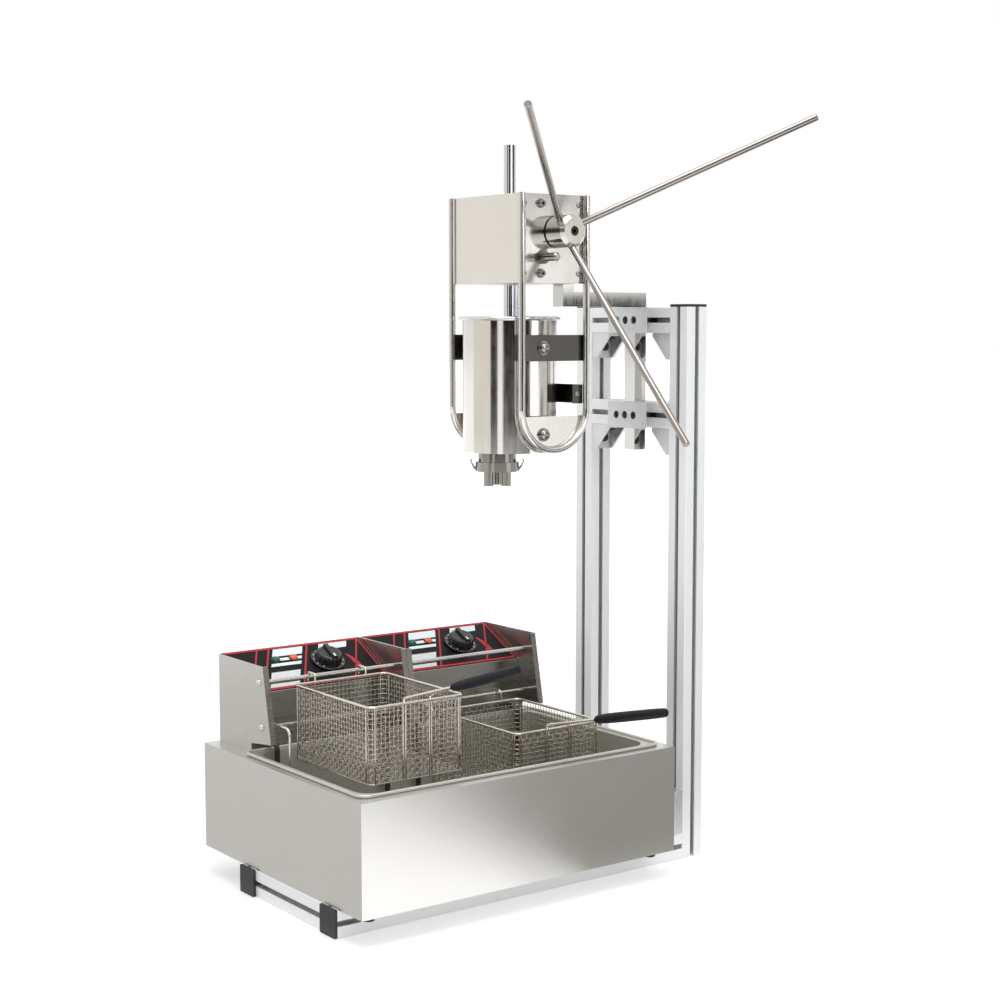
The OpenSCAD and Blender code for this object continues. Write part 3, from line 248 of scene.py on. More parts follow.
def shade_in_slots(tree):
    """Mask of painted shade: 1 deep in a slot or corner, 0 on an open face"""
    closed = add(tree, "ShaderNodeAmbientOcclusion",
                 {"samples": 8, "only_local": True, "Distance": SLOT_REACH})
    return spread(tree, closed.outputs["AO"], 1.0, 0.0, 0.2, 0.72)


def along_axis(tree, output, axis):
    """One part, X, Y or Z, of the object's normal or place"""
    whole = add(tree, "ShaderNodeTexCoord").outputs[output]
    return add(tree, "ShaderNodeSeparateXYZ", (), {0: whole}).outputs[axis]


def shade_facing_x(tree):
    """Mask of painted shade: 1 on surfaces that face along X, toward the baskets"""
    return spread(tree, along_axis(tree, "Normal", "X"), 0.0, 1.0, 0.6, 0.9)


def on_the_neck(tree):
    """1 on the cylinder's outlet neck, 0 above it"""
    neck_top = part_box("cylinder")[0].z + NECK_LENGTH
    return spread(tree, along_axis(tree, "Object", "Z"), 1.0, 0.0, neck_top - NECK_EDGE, neck_top)


# %% [markdown]
# Die-cast aluminium has no lines. It comes out of the mould and is blasted with grit, which leaves a
# fine even grain and softens the highlights. Grit of about 0.3 mm is drawn at 0.8 mm. With this last
# metal made, the painted shade and the neck's duller colour go on.

# %% Blasted cast aluminium, then painted shade and the duller neck
GRIT_MM = 0.8
CAST_CLOUD_MM = 20


def blasted_casting():
    """Cast aluminium with an even grain"""
    made, tree, shader = new_material("blasted_cast_aluminium", metallic=1.0)
    grit = streaks(tree, GRIT_MM, GRIT_MM, "X", 2).outputs["Fac"]
    clouds = streaks(tree, CAST_CLOUD_MM, CAST_CLOUD_MM, "X").outputs["Fac"]
    tree.links.new(blend_colours(tree, clouds, "#CDD0D1", "#E2E4E5"), shader.inputs["Base Color"])
    tree.links.new(spread(tree, grit, 0.42, 0.56), shader.inputs["Roughness"])
    raise_bumps(tree, shader, grit, 0.03)
    return made


cast_aluminium = blasted_casting()
# Painted shade: a darker colour in the slots and hollows of the profiles and castings
SHADE_AND_DULL_NECK = [(finish, "#4C4F51", shade_in_slots) for finish in (*anodised.values(), cast_aluminium)]
# Painted shade on the heads' sheets that face along X; the neck's darker colour is its own unpolished
# finish
SHADE_AND_DULL_NECK += [(head_sheet, "#8E8B85", shade_facing_x), (polished_tube, "#8A8782", on_the_neck)]
for finish, colour, mask in SHADE_AND_DULL_NECK:
    darken_by_mask(finish, colour, mask)
print("dirty finishes:", len(SHADE_AND_DULL_NECK))

# %% [markdown]
# ## Plastics, rubber and print
# Moulded plastic is not a metal, so its highlight is white and weak, and its own colour is what you
# see. Black parts are never fully black: a dark grey keeps their form readable. Spark-eroded moulds
# leave a fine pebbled grain on caps and knobs, and dipped grips have a soft, slightly wavy skin.

# %% Plastics and rubber
SKIN_CLOUD_MM = 14


def plastic(name, colour, second, rough, grain_mm=0.8, relief_mm=0.02, **extra):
    """A moulded or printed skin with a fine even grain"""
    made, tree, shader = new_material(name, metallic=0.0, ior=1.5, **extra)
    grain = streaks(tree, grain_mm, grain_mm, "X", 2).outputs["Fac"]
    clouds = streaks(tree, SKIN_CLOUD_MM, SKIN_CLOUD_MM, "X").outputs["Fac"]
    tree.links.new(blend_colours(tree, clouds, colour, second), shader.inputs["Base Color"])
    tree.links.new(spread(tree, grain, *rough), shader.inputs["Roughness"])
    raise_bumps(tree, shader, grain, relief_mm)
    return made


black_nylon = plastic("moulded_black_nylon", "#1D1E20", "#2A2B2D", (0.42, 0.56))
knob_resin = plastic("moulded_phenolic_knob", "#131213", "#1D1C1D", (0.18, 0.30), 0.8, 0.006,
                     coat_weight=0.3)
grip_vinyl = plastic("dipped_vinyl_grip", "#131117", "#1D1A22", (0.45, 0.6), 3.0, 0.06,
                     specular_ior_level=0.2)
foot_rubber = plastic("moulded_rubber", "#18181A", "#242426", (0.6, 0.75), 1.0, 0.03)
seal_rubber = plastic("food_grade_rubber", "#2B2B2D", "#38383A", (0.4, 0.5), 1.0, 0.02)
panel_film = plastic("printed_black_film", "#0D0A0B", "#141011", (0.34, 0.44), 0.8, 0.004,
                     specular_ior_level=0.12)
red_print = plastic("red_screen_print", "#B32432", "#C23440", (0.4, 0.5), 0.8, 0.004,
                    specular_ior_level=0.2)
white_print = plastic("white_screen_print", "#DDE6EB", "#E9F0F3", (0.3, 0.4), 0.8, 0.004)
silver_print = plastic("silver_foil_print", "#C9CBCD", "#DDDFE0", (0.3, 0.4), 0.8, 0.004)
green_lens = plastic("green_lamp_lens", "#0B4B38", "#116A4C", (0.08, 0.14), 1.2, 0.01)
orange_lens = plastic("orange_lamp_lens", "#D9541C", "#EE7434", (0.08, 0.14), 1.2, 0.01)
print("finishes in all:", len(bpy.data.materials) - loaded_materials)

# %% [markdown]
# ## Finish for each CAD piece
# The CAD pieces keep their shapes, and each only needs its material. The brushing runs along the
# length of a profile, so a post, a rail and a beam each take the version for their own axis.

# %% Give the CAD pieces their finishes
FINISHES = {
    anodised["Z"]: "post_right post_left",
    anodised["Y"]: "rail_right rail_left",
    anodised["X"]: "base_cross_front base_cross_rear upper_beam lower_beam",
    cast_aluminium: "beam_gussets rail_gussets clamp_plates",
    black_nylon: "profile_caps",
    black_bolt: "slot_bolts hub_screw",
    arm_tube: "mounting_arm",
    polished_plate: "side_plate_right side_plate_left lower_plates",
    band_plate: "upper_bands rear_strip",
    satin_cover: "front_cover rear_cover end_plates",
    bolt_steel: "cover_screws guide_bolts cylinder_bolts piston_nut plunger_bush",
    bronze: "rod_guides shaft_bushes",
    bright_bar: "frame_rod_right frame_rod_left basket_rods thermostat_probes",
    polished_tube: "cylinder piston",
    outlet_steel: "nozzle_plate wing_nut",
    hard_chrome: "rack_rod pinion_shaft",
    turned_hub: "crank_hub",
    drawn_bar: "crank_spokes lock_plunger",
    seal_rubber: "piston_seal",
    foot_rubber: "fryer_feet",
    fryer_sheet: "fryer_housing",
    head_sheet: "control_head_left control_head_right",
    pan_steel: "oil_pan",
    panel_film: "control_panels",
    hot_sheath: "heating_elements",
    bright_wire: "basket_frame_left basket_frame_right",
    knob_resin: "knob_left knob_right",
    grip_vinyl: "basket_grip_left basket_grip_right",
    green_lens: "indicator_lamps",
}
for material, names in FINISHES.items():
    for name in names.split():
        for material_slot in nodes[name].material_slots:
            material_slot.material = material
print("finished:", sum(len(names.split()) for names in FINISHES.values()), "CAD pieces")

# %% [markdown]
# ## Small helpers for shapes
# Wire, rod and print make up most of what is added here. A Blender curve with a round bevel is the
# natural way to draw wire: it needs only the wire's path. Turned pieces such as knobs and grips are
# half-profiles spun round an axis, as a lathe would cut them; profiles are in millimetres. Print is
# a very thin raised sheet: a stack of two equal rings of points.

# %% Helpers for shapes
THIN_WIRE = 2 * MM
SHARP_ANGLE = 40


def give(piece, material, body):
    """Finishes a new piece and lets it ride on its body"""
    piece.data.materials.append(material)
    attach(piece, body)
    return piece


def add_path(curve, path, closed=False):
    """One more wire, along a path of points"""
    spline = curve.splines.new("POLY")
    spline.points.add(len(path) - 1)
    for point, place in zip(spline.points, path):
        point.co = (*place, 1)
    spline.use_cyclic_u = closed


def wires(name, paths, diameter, closed=False):
    """Round wire along each path of points, as one curve object"""
    curve = bpy.data.curves.new(name, "CURVE")
    curve.dimensions = "3D"
    curve.bevel_depth = diameter / 2
    curve.bevel_resolution = 1 if diameter < THIN_WIRE else 4
    curve.use_fill_caps = True
    for path in paths:
        add_path(curve, path, closed)
    piece = bpy.data.objects.new(name, curve)
    bpy.context.collection.objects.link(piece)
    return piece


def solid(name, points, faces, smooth=False):
    """A mesh object from its corners and faces"""
    mesh = bpy.data.meshes.new(name)
    mesh.from_pydata([tuple(p) for p in points], [], faces)
    mesh.validate()
    if smooth:
        mesh.shade_smooth()
        mesh.set_sharp_from_angle(angle=math.radians(SHARP_ANGLE))
    piece = bpy.data.objects.new(name, mesh)
    bpy.context.collection.objects.link(piece)
    return piece


def stack_faces(first, size, rings=2):
    """Faces round a stack of equal rings of points, closed at both ends"""
    last = first + (rings - 1) * size
    faces = [tuple(range(first, first + size)), tuple(reversed(range(last, last + size)))]
    for row in range(first, last, size):
        for i in range(size):
            j = (i + 1) % size
            faces.append((row + i, row + size + i, row + size + j, row + j))
    return faces


def turned(name, profile, base, axis, sides=48, lobes=0, lobe_depth=0.0):
    """A half-profile of (radius, height) spun round an axis; lobes flute its sides"""
    up = Vector(axis).normalized()
    side = up.orthogonal().normalized()
    other = up.cross(side)
    points, faces = [], []
    for radius, height in profile:
        middle = Vector(base) + up * (height * MM)
        for i in range(sides):
            turn = 2 * math.pi * i / sides
            grown = radius * MM * (1 + lobe_depth * math.cos(lobes * turn))
            points.append(middle + (side * math.cos(turn) + other * math.sin(turn)) * grown)
    for k in range(len(profile) - 1):
        for i in range(sides):
            j = (i + 1) % sides
            faces.append((k * sides + i, k * sides + j, (k + 1) * sides + j, (k + 1) * sides + i))
    last = (len(profile) - 1) * sides
    faces += [tuple(reversed(range(sides))), tuple(range(last, last + sides))]
    return solid(name, points, faces, smooth=True)


def round_end(radius, height, corner, down=False, steps=5):
    """Profile points of a rounded edge that ends at a height"""
    points = []
    for i in range(steps + 1):
        turn = math.pi / 2 * i / steps
        points.append((radius - corner + corner * math.cos(turn),
                       height - corner + corner * math.sin(turn)))
    if down:
        points = [(r, 2 * height - h) for r, h in reversed(points)]
    return points


def towards(bearing):
    """The level direction of a bearing in degrees: 0 is the machine's front, 90 its right"""
    turn = math.radians(bearing)
    return Vector((math.sin(turn), -math.cos(turn), 0))


# %% [markdown]
# ## Woven baskets
# A frying basket is woven from stainless wire about 1.2 mm thick on a 7 mm pitch, then folded up
# into a tray, so each wire runs down one wall, across the floor and up the other wall. Rings of wire
# go round the four walls. Where two wires cross, one passes over and the other under. The net in CAD
# is a flat grid. Here each wire is drawn along its own path, pushed in and out by turns at the
# crossings.

# %% Paths of the woven wires
WEAVE_PITCH = 7.0 * MM
WEAVE_WIRE = 1.15 * MM
WEAVE_PUSH = 0.55 * WEAVE_WIRE
CORNER_RADIUS = 9 * MM
FOLD_RADIUS = CORNER_RADIUS * 0.6
EDGE_GAP = CORNER_RADIUS * 0.5
LEAST_STEPS = 8
ARC_STEPS = 3


def woven(i, sign):
    """How far point i of a wire is pushed: over and under by turns, with none between"""
    return sign * WEAVE_PUSH * (1 - 2 * (i // 2 % 2)) if i % 2 == 0 else 0.0


def tray_wire(half, depth, sign):
    """(along, up) points of a wire down a wall, over the floor and up again"""
    radius = FOLD_RADIUS
    straight = depth - radius
    flat = 2 * (half - radius)
    bend = math.pi / 2 * radius
    total = 2 * (straight + bend) + flat
    steps = max(2 * round(total / WEAVE_PITCH), LEAST_STEPS)
    points = []
    for i in range(steps + 1):
        s = total * i / steps
        push = woven(i, sign)
        reach = radius - push
        if s <= straight:
            points.append((-half + push, -s))
        elif s < straight + bend:
            turn = (s - straight) / radius
            points.append((-half + radius - reach * math.cos(turn),
                           -straight - reach * math.sin(turn)))
        elif s <= straight + bend + flat:
            points.append((-half + radius + s - straight - bend, -depth + push))
        elif s < total - straight:
            turn = (total - straight - s) / radius
            points.append((half - radius + reach * math.cos(turn),
                           -straight - reach * math.sin(turn)))
        else:
            points.append((half - push, s - total))
    return points


def ring_wire(half_x, half_y, sign):
    """Points of a woven ring round the four walls, with round corners"""
    radius = CORNER_RADIUS
    corners = [(half_x - radius, half_y - radius, 0), (radius - half_x, half_y - radius, 90),
               (radius - half_x, radius - half_y, 180), (half_x - radius, radius - half_y, 270)]
    dense = []
    for cx, cy, start in corners:
        for step in range(ARC_STEPS + 1):
            turn = math.radians(start + 90 / ARC_STEPS * step)
            dense.append(Vector((cx + radius * math.cos(turn), cy + radius * math.sin(turn))))
    lengths = [(dense[(i + 1) % len(dense)] - dense[i]).length for i in range(len(dense))]
    total = sum(lengths)
    steps = 4 * round(total / WEAVE_PITCH / 2)
    points = []
    edge, gone = 0, 0.0
    for i in range(steps):
        s = total * i / steps
        while s > gone + lengths[edge] and edge < len(dense) - 1:
            gone += lengths[edge]
            edge += 1
        along = (dense[(edge + 1) % len(dense)] - dense[edge]).normalized()
        outward = Vector((along.y, -along.x))
        points.append(dense[edge] + along * (s - gone) + outward * woven(i, sign))
    return points


def woven_tray(name, low, high):
    """All wires of one basket, inside the CAD net's box"""
    middle = (low + high) / 2
    half_x = (high.x - low.x) / 2 - WEAVE_WIRE
    half_y = (high.y - low.y) / 2 - WEAVE_WIRE
    depth = high.z - low.z - WEAVE_WIRE
    paths = []
    for half, across, swap in ((half_x, half_y, False), (half_y, half_x, True)):
        reach = across - EDGE_GAP
        count = round(2 * reach / WEAVE_PITCH)
        for i in range(count + 1):
            offset = (2 * i / count - 1) * reach
            wire = tray_wire(half, depth, 1 if (i + swap) % 2 else -1)
            paths.append([(middle.x + (offset if swap else a), middle.y + (a if swap else offset),
                           high.z + z) for a, z in wire])
    net = wires(name, paths, WEAVE_WIRE)
    rows = round(depth / WEAVE_PITCH)
    for k in range(1, rows):
        height = high.z - k * depth / rows
        ring = ring_wire(half_x, half_y, 1 if k % 2 else -1)
        add_path(net.data, [(middle.x + p.x, middle.y + p.y, height) for p in ring], closed=True)
    return net


for side in SIDES:
    low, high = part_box("basket_" + side)
    net = woven_tray("woven_net_" + side, low, high)
    give(net, net_wire, side + "_basket")
    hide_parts("basket_" + side)
    print("woven", side, "wires:", len(net.data.splines))

# %% [markdown]
# Thicker wires stiffen the net: one loop round its bottom edge, two uprights at each corner, and two
# below each foot of the handle. They sit just outside the weave and meet the rim.

# %% Stays of the baskets
STAY_WIRE = 2.0 * MM
STAY_PAIR = 4 * MM
HANDLE_FOOT = 22 * MM


def rounded_loop(middle, half_x, half_y, radius, z, steps=6):
    """Points round a rectangle with round corners, at height z"""
    points = []
    for sx, sy, start in ((1, 1, 0), (-1, 1, 90), (-1, -1, 180), (1, -1, 270)):
        for i in range(steps + 1):
            turn = math.radians(start + 90 * i / steps)
            points.append((middle.x + sx * (half_x - radius) + radius * math.cos(turn),
                           middle.y + sy * (half_y - radius) + radius * math.sin(turn), z))
    return points


def basket_stays(name, low, high):
    """Bottom loop and uprights outside one net"""
    middle = (low + high) / 2
    half_x = (high.x - low.x) / 2 + STAY_WIRE / 4
    half_y = (high.y - low.y) / 2 + STAY_WIRE / 4
    foot = low.z + STAY_WIRE
    loop = rounded_loop(middle, half_x, half_y, CORNER_RADIUS, foot)
    piece = wires(name, [loop], STAY_WIRE, closed=True)
    uprights = []
    for sx in (-1, 1):
        for sy in (-1, 1):
            uprights.append((sx * (half_x - CORNER_RADIUS), sy * half_y))
            uprights.append((sx * half_x, sy * (half_y - CORNER_RADIUS)))
    for sy in (-1, 1):
        uprights += [(half_x, sy * HANDLE_FOOT + dy) for dy in (-STAY_PAIR / 2, STAY_PAIR / 2)]
    for x, y in uprights:
        add_path(piece.data, [(middle.x + x, middle.y + y, z) for z in (foot, high.z)])
    return piece


for side in SIDES:
    low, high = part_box("basket_" + side)
    stays = basket_stays("basket_stays_" + side, low, high)
    give(stays, net_wire, side + "_basket")
    print("stays", side, len(stays.data.splines))

# %% [markdown]
# ## Grips
# Each handle ends in a sleeve of black vinyl, made by dipping the hot wire. It is thin where the
# wires enter, swells in the hand and has a round end. A half-profile along the handle's axis gives
# that, and arcs of points at both ends keep it free of hard edges.

# %% Vinyl grips
GRIP_RISE = {"left": 17.5, "right": 13.5}
GRIP_LENGTH = 156
GRIP_PROFILE = (round_end(5.6, 0, 2.2, down=True)
                + [(6.6, 12), (7.2, 26), (7.45, 46), (7.4, 80), (7.2, 120), (6.9, 138)]
                + round_end(6.4, GRIP_LENGTH, 6.0, steps=8))
for side in SIDES:
    low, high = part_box("basket_grip_" + side)
    rise = math.radians(GRIP_RISE[side])
    along = Vector((math.cos(rise), 0, math.sin(rise)))
    start = (low + high) / 2 - along * (GRIP_LENGTH * MM) / 2
    grip = turned("grip_" + side, GRIP_PROFILE, start, along, 36)
    give(grip, grip_vinyl, side + "_basket")
    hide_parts("basket_grip_" + side)
    print("grip", side, "from", [round(v, 4) for v in start])

# %% [markdown]
# ## Control panels
# A printed film covers each sloping panel. The knob's joint tells where the panel lies: the joint
# turns about the panel's normal, and its point is on the panel under the knob. So every place on the
# print can be given in millimetres down the slope and along it, and one function turns that into
# space.

# %% Places on a panel
KNOB_DOWN = 50
KNOB_ALONG = 39
FILM_TOP = 1.2
KNOB_BODY = "thermostat_"
knob_joints = {joint["child"][len(KNOB_BODY):]: joint for joint in frame["joints"]
               if joint["child"].startswith(KNOB_BODY)}


def panel_axes(side):
    """Three directions of a control panel: out of it, down its slope and along it"""
    normal = Vector(knob_joints[side]["axis"]).normalized()
    return normal, Vector((normal.z, 0, -normal.x)), Vector((0, 1, 0))


def on_panel(side, down, along, out=0.0):
    """A point on a control panel, from millimetres down the slope, along it and out of it"""
    normal, slope, across = panel_axes(side)
    offset = (down - KNOB_DOWN) * slope + (along - KNOB_ALONG) * across + out * normal
    return Vector(knob_joints[side]["pos_m"]) + MM * offset


print("panel normals:", [list(joint["axis"]) for joint in knob_joints.values()])

# %% [markdown]
# The film is screen printed: black, with red rules and white fields. The wording of the real one is
# left off and its fields stay bare. The ink layer is drawn as thin raised sheets of 0.1 mm. The
# rules between the fields lean, so each shape's sides are given where they meet the top edge and
# slide as they run down. A field is its two depths down the slope and its two places along it.

# %% Screen print
PANEL_HALF = 118.5
PANEL_TOP = 1.6
PANEL_END = 101.2
LEAN = 0.56
INK = 0.1
BORDER = 4
INNER_TOP = PANEL_TOP + BORDER
INNER_END = PANEL_END - BORDER
RULE = 3.0
RULES_AT = (-62, -41.5, 25.5, 116)
SCALE_WEDGE = [(38, 76), (40, 81), (50, 86), (62, 89), (74, 90), (74, 79), (64, 80), (52, 80)]
WHITE_FIELDS = [(7.2, 24.8, -32.6, 19.5), (29.5, 36, -32.6, 19.5), (41.5, 48.5, -32.6, 19.5),
                (80, 84, -31.4, 18.6), (7, 21, 48.3, 99)]
PALE_FIELDS = [(62, 77.5, -31.4, 18.6), (88, 96.5, -31.4, 18.6)]


def upright(down_a, down_b, along_a, along_b):
    """The corners of a field with straight sides"""
    return [(down_a, along_a), (down_a, along_b), (down_b, along_b), (down_b, along_a)]


def leaning(*field):
    """The corners of a field with leaning sides, kept on the panel"""
    return [(down, max(-PANEL_HALF, min(PANEL_HALF, along - LEAN * (down - PANEL_TOP))))
            for down, along in upright(*field)]


def printed(name, outlines, material):
    """Thin raised sheets of ink on both panels"""
    points, faces = [], []
    for side in SIDES:
        for outline in outlines:
            faces += stack_faces(len(points), len(outline))
            for out in (FILM_TOP, FILM_TOP + INK):
                points += [on_panel(side, down, along, out) for down, along in outline]
    give(solid(name, points, faces), material, "machine")
    print(name, "shapes:", len(SIDES) * len(outlines))


red_rules = [upright(PANEL_TOP, INNER_TOP, -PANEL_HALF, PANEL_HALF),
             upright(INNER_END, PANEL_END, -PANEL_HALF, PANEL_HALF),
             upright(INNER_TOP, INNER_END, PANEL_HALF - RULE, PANEL_HALF)]
red_rules += [leaning(INNER_TOP, INNER_END, along, along + RULE) for along in RULES_AT]
printed("red_rules", red_rules + [SCALE_WEDGE], red_print)
printed("white_fields", [leaning(*field) for field in WHITE_FIELDS], white_print)
printed("pale_fields", [leaning(*field) for field in PALE_FIELDS], silver_print)

# %% [markdown]
# ## Indicator lamps
# Each head has a green and an orange lamp: a clear cap over a neon, cut with facets like a jewel so
# that it glints from every side. Eight flat facets and a black bezel ring show that at this size.

# %% Indicator lamps
LAMP_DOWN = 33
LAMPS = (("green", -44, green_lens), ("orange", -13, orange_lens))
FACETS = 8
LENS_PROFILE = [(6.6, 0.9), (6.6, 3.4), (5.0, 5.2), (2.2, 6.0)]
BEZEL_PROFILE = [(7.6, 0.9), (7.6, 2.2), (7.0, 2.7), (6.2, 2.7)]
for side in SIDES:
    normal = knob_joints[side]["axis"]
    for colour, along, lens_material in LAMPS:
        place = on_panel(side, LAMP_DOWN, along)
        bezel = turned("bezel_" + colour + "_" + side, BEZEL_PROFILE, place, normal)
        give(bezel, black_nylon, "machine")
        lens = turned("lens_" + colour + "_" + side, LENS_PROFILE, place, normal, FACETS)
        give(lens, lens_material, "machine")
        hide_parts("indicator_lamps")
print("lamps:", len(SIDES) * len(LAMPS))

# %% [markdown]
# ## Thermostat knobs
# The knob is pressed from black phenolic resin: a flat skirt that carries the dial, a fluted drum to
# hold, a raised bar across its top and a white pointer. The dial is a ring of plain ticks. The
# turning function that made the lamps makes skirt and drum too, and flutes the drum on the way. The
# bar is a stack of three rings: its foot, its edge and its narrower top. Each tick, and the pointer,
# is given by where it begins and ends from the knob's middle, half its width and its height.

# %% Knobs
SKIRT_PROFILE = [(3.0, 0.2), (3.0, 1.5), (25.5, 1.5)] + round_end(27, 5.0, 1.6) + [(20.8, 5.2)]
SKIRT_SIDES = 72
DRUM_PROFILE = [(21.0, 4.6)] + round_end(19.5, 18.5, 5.0) + [(13.5, 18.6), (13.0, 17.9)]
DRUM_SIDES = 144
FLUTES = 18
FLUTE_DEPTH = 0.03
BAR_CORNERS = ((-17.5, -3.8), (-17.5, 3.8), (17.5, 3.8), (17.5, -3.8))
BAR_RINGS = ((17.5, 1.0, 1.0), (21.0, 1.0, 1.0), (22.3, 0.93, 0.7))
TICKS = 11
TICK_FROM = -135
TICK_STEP = 27
TICK = (22.4, 24.8, 0.5, 5.1)
POINTER = (9.0, 16.0, 1.4, 22.2)
MARK_RISE = 0.15


def mark(place, normal, direction, near, far, half_width, height):
    """The eight corners of a raised line of print on a knob"""
    flank = direction.cross(normal)
    corners = ((near, -half_width), (near, half_width), (far, half_width), (far, -half_width))
    return [place + MM * (d * direction + w * flank + h * normal)
            for h in (height, height + MARK_RISE) for d, w in corners]


for side in SIDES:
    body = KNOB_BODY + side
    normal, slope, across = panel_axes(side)
    place = on_panel(side, KNOB_DOWN, KNOB_ALONG)
    skirt = turned("knob_skirt_" + side, SKIRT_PROFILE, place, normal, SKIRT_SIDES)
    drum = turned("knob_drum_" + side, DRUM_PROFILE, place, normal, DRUM_SIDES, FLUTES, FLUTE_DEPTH)
    bar_points = [place + MM * (part_x * x * slope + part_y * y * across + height * normal)
                  for height, part_x, part_y in BAR_RINGS for x, y in BAR_CORNERS]
    bar = solid("knob_bar_" + side, bar_points, stack_faces(0, len(BAR_CORNERS), len(BAR_RINGS)))
    for piece in (skirt, drum, bar):
        give(piece, knob_resin, body)
        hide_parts("knob_" + side)
    marks = []
    for i in range(TICKS):
        turn = math.radians(TICK_FROM + TICK_STEP * i)
        marks += mark(place, normal, slope * -math.cos(turn) + across * math.sin(turn), *TICK)
    marks += mark(place, normal, slope, *POINTER)
    mark_faces = [face for first in range(0, len(marks), 8) for face in stack_faces(first, 4)]
    give(solid("knob_marks_" + side, marks, mark_faces), white_print, body)
    print("knob", side, "marks:", TICKS + 1)

# %% [markdown]
# ## Small hardware
# The cylinder carries two rivet heads low on its wall, and the rods of each control head end in
# domed nuts on its outer sheet. A half-profile that rounds over gives each its dome.

# %% Rivets on the cylinder
RIVETS = [(69.5, 0.657), (82.0, 0.653)]
RIVET_PROFILE = round_end(2.4, 1.6, 1.5)
RIVET_SINK = 0.2 * MM
CYLINDER_MIDDLE = Vector((0.0, -0.255, 0.0))
CYLINDER_RADIUS = 70 * MM
for i, (bearing, height) in enumerate(RIVETS):
    outward = towards(bearing)
    base = CYLINDER_MIDDLE + outward * (CYLINDER_RADIUS - RIVET_SINK) + Vector((0, 0, height))
    rivet = turned("rivet_" + str(i), RIVET_PROFILE, base, outward, 24)
    give(rivet, bolt_steel, "machine")
print("rivets:", len(RIVETS))

# %% Domed nuts on the rods
DISC_RADIUS = 4.5 * MM
DISC_DEPTH = 2.5 * MM
DOME_PROFILE = [(5.0, 0.0)] + round_end(5.0, 3.6, 2.6)
low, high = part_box("basket_rods")
rod_ends = {"upper": (low.x + DISC_RADIUS, high.z - DISC_RADIUS),
            "lower": (high.x - DISC_RADIUS, low.z + DISC_RADIUS)}
for side, face, outward in (("left", low.y + DISC_DEPTH, (0, -1, 0)),
                            ("right", high.y - DISC_DEPTH, (0, 1, 0))):
    for level, (x, z) in rod_ends.items():
        dome = turned("rod_nut_" + level + "_" + side, DOME_PROFILE, (x, face, z), outward, 32)
        give(dome, bright_wire, "machine")
print("domed nuts:", len(SIDES) * len(rod_ends))

# %% [markdown]
# ## Studio
# The machine stands on a white floor in a white room. The floor is nearly white paint that glows a
# little for the camera and for reflections, so that it reads as white paper while it still takes the
# shadow. The glow grows with distance, where the lamps no longer reach, so the floor meets the white
# world without a line.

# %% Floor and world
FLOOR_HALF = 30.0
FLOOR_DROP = 0.5 * MM
FLOOR_GLOW = (0.30, 0.60)
GLOW_FROM = (1.1, 3.0)
ROOM_LIGHT = 0.74
WHITE = (1, 1, 1, 1)


def seen_directly(tree):
    """1 for rays from the camera, from mirrors and through glass, and 0 for light on a surface"""
    rays = add(tree, "ShaderNodeLightPath")
    seen = add(tree, "ShaderNodeMath", {"operation": "MAXIMUM"},
               {0: rays.outputs["Is Camera Ray"], 1: rays.outputs["Is Glossy Ray"]}).outputs[0]
    return add(tree, "ShaderNodeMath", {"operation": "MAXIMUM"},
               {0: seen, 1: rays.outputs["Is Transmission Ray"]}).outputs[0]


def white_floor():
    """White paint, with a glow that only the camera and reflections see"""
    made, tree, shader = new_material("studio_floor", roughness=0.9)
    shader.inputs["Base Color"].default_value = linear("#F4F4F4")
    place = add(tree, "ShaderNodeTexCoord").outputs["Object"]
    away = add(tree, "ShaderNodeVectorMath", {"operation": "LENGTH"}, {0: place}).outputs["Value"]
    level = add(tree, "ShaderNodeMath", {"operation": "MULTIPLY"},
                {0: spread(tree, away, *FLOOR_GLOW, *GLOW_FROM), 1: seen_directly(tree)})
    glow = add(tree, "ShaderNodeEmission", {"Color": WHITE}, {"Strength": level.outputs[0]})
    both = add(tree, "ShaderNodeAddShader", (), {0: shader.outputs[0], 1: glow.outputs[0]})
    tree.links.new(both.outputs[0], tree.nodes["Material Output"].inputs["Surface"])
    return made


floor = solid("studio_ground", [(-FLOOR_HALF, -FLOOR_HALF, 0), (FLOOR_HALF, -FLOOR_HALF, 0),
                                (FLOOR_HALF, FLOOR_HALF, 0), (-FLOOR_HALF, FLOOR_HALF, 0)],
              [(0, 1, 2, 3)])
floor.location.z = -FLOOR_DROP
floor.data.materials.append(white_floor())

world = bpy.data.worlds.new("studio_world")
bpy.context.scene.world = world
world.use_nodes = True
background = world.node_tree.nodes["Background"]
room = add(world.node_tree, "ShaderNodeMapRange", {"To Min": ROOM_LIGHT, "To Max": 1.0},
           {"Value": seen_directly(world.node_tree)})
world.node_tree.links.new(room.outputs["Result"], background.inputs["Strength"])
background.inputs["Color"].default_value = WHITE
print("floor and world made")

# %% Studio lamps
LAMP_AIM = Vector((0, -0.3, 0.5))


def soft_lamp(name, place, size, power):
    """A square studio lamp that looks at the machine's middle"""
    data = bpy.data.lights.new(name, "AREA")
    data.shape = "SQUARE"
    data.size = size
    data.energy = power
    lamp = bpy.data.objects.new(name, data)
    lamp.location = place
    lamp.rotation_euler = (LAMP_AIM - Vector(place)).to_track_quat("-Z", "Y").to_euler()
    bpy.context.collection.objects.link(lamp)


soft_lamp("top_lamp", (0.4, -0.6, 2.6), 1.6, 26)
soft_lamp("front_lamp", (2.4, -0.4, 1.5), 1.0, 12)
print("studio lamps:", len(bpy.data.lights))

# %% [markdown]
# What polished metal shows is its surroundings. A photographer hangs grey, black and white paper
# round such an object, outside the picture, so that each curve gets its dark and light lines. The
# papers here are walls on a wide circle, given by their bearing: 0 is the machine's front, 90 its
# right side. Three more lie on the floor: one before the machine, one to its right and behind, and a
# bright one between them. Only reflections see them.

# %% Reflection papers
PAPER_CIRCLE = 8.0
PAPER_LIFT = 0.4 * MM
WALL_STEP = 3
papers = []


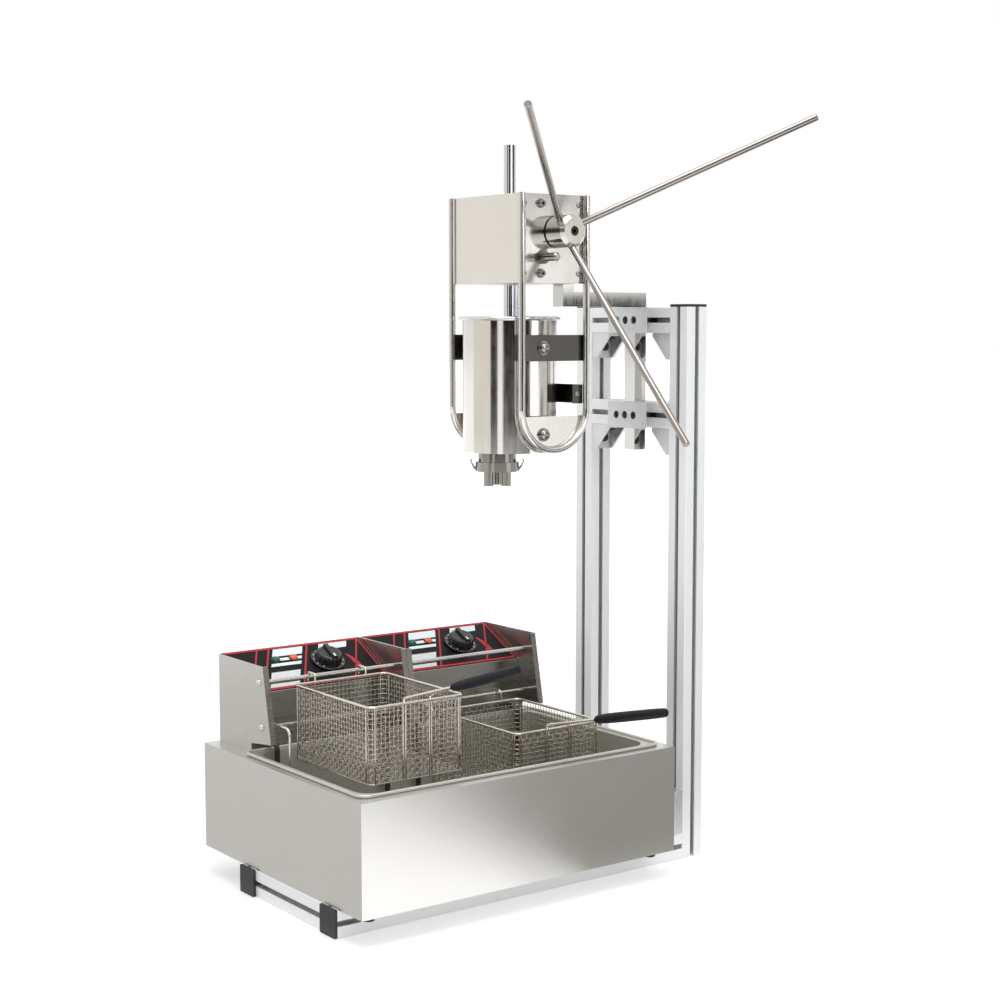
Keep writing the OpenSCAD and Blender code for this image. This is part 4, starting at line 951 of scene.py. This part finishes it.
def paper(name, points, shade, strength):
    """A strip of paper that only reflections see: pairs of points, low and high"""
    faces = [(2 * i, 2 * i + 2, 2 * i + 3, 2 * i + 1) for i in range(len(points) // 2 - 1)]
    strip = solid(name, points, faces)
    made = bpy.data.materials.new(name + "_paper")
    made.use_nodes = True
    tree = made.node_tree
    glow = add(tree, "ShaderNodeEmission", {"Color": linear(shade), "Strength": strength})
    tree.links.new(glow.outputs[0], tree.nodes["Material Output"].inputs["Surface"])
    strip.data.materials.append(made)
    strip.visible_camera = False
    strip.visible_diffuse = False
    strip.visible_shadow = False
    papers.append(strip)


def wall_paper(name, start, end, low, high, shade, strength=1.0):
    """A curved wall between two bearings, in degrees, and two heights, in metres"""
    steps = max(2, round((end - start) / WALL_STEP))
    points = []
    for i in range(steps + 1):
        place = PAPER_CIRCLE * towards(start + (end - start) * i / steps)
        points += [place + Vector((0, 0, low)), place + Vector((0, 0, high))]
    paper(name, points, shade, strength)


def floor_paper(name, x0, x1, y0, y1, shade, strength=1.0):
    """A sheet on the floor"""
    paper(name, [(x, y, PAPER_LIFT) for x in (x0, x1) for y in (y0, y1)], shade, strength)


wall_paper("left_wall", -44, 6, 0, 4.5, "#F4F0E8")
wall_paper("camera_side", 6, 23, 0, 3.0, "#22201E")
wall_paper("behind_camera", 36, 102, 0, 3.0, "#0E0C0A")
wall_paper("right_bright", 103, 124, 0, 1.55, "#FFFFFF", 1.7)
wall_paper("right_low", 131, 144, 0, 0.45, "#7A7772")
wall_paper("right_middle", 126, 144, 0.62, 1.0, "#141210")
wall_paper("over_right", 66, 150, 1.55, 4.5, "#3A3835")
wall_paper("plate_bright", 124, 136, 1.0, 1.55, "#FFFFFF", 1.7)
wall_paper("right_back", 144, 172, 0, 3.0, "#E0DCD4")
floor_paper("left_floor", -2.2, 0.6, -2.4, -0.66, "#DFDDDA")
floor_paper("right_floor", 0.25, 3.2, -0.2, 3.0, "#9C9994")
floor_paper("bright_floor", 0.25, 2.0, -1.6, -0.3, "#FFFFFF", 1.7)
print("papers:", len(papers))
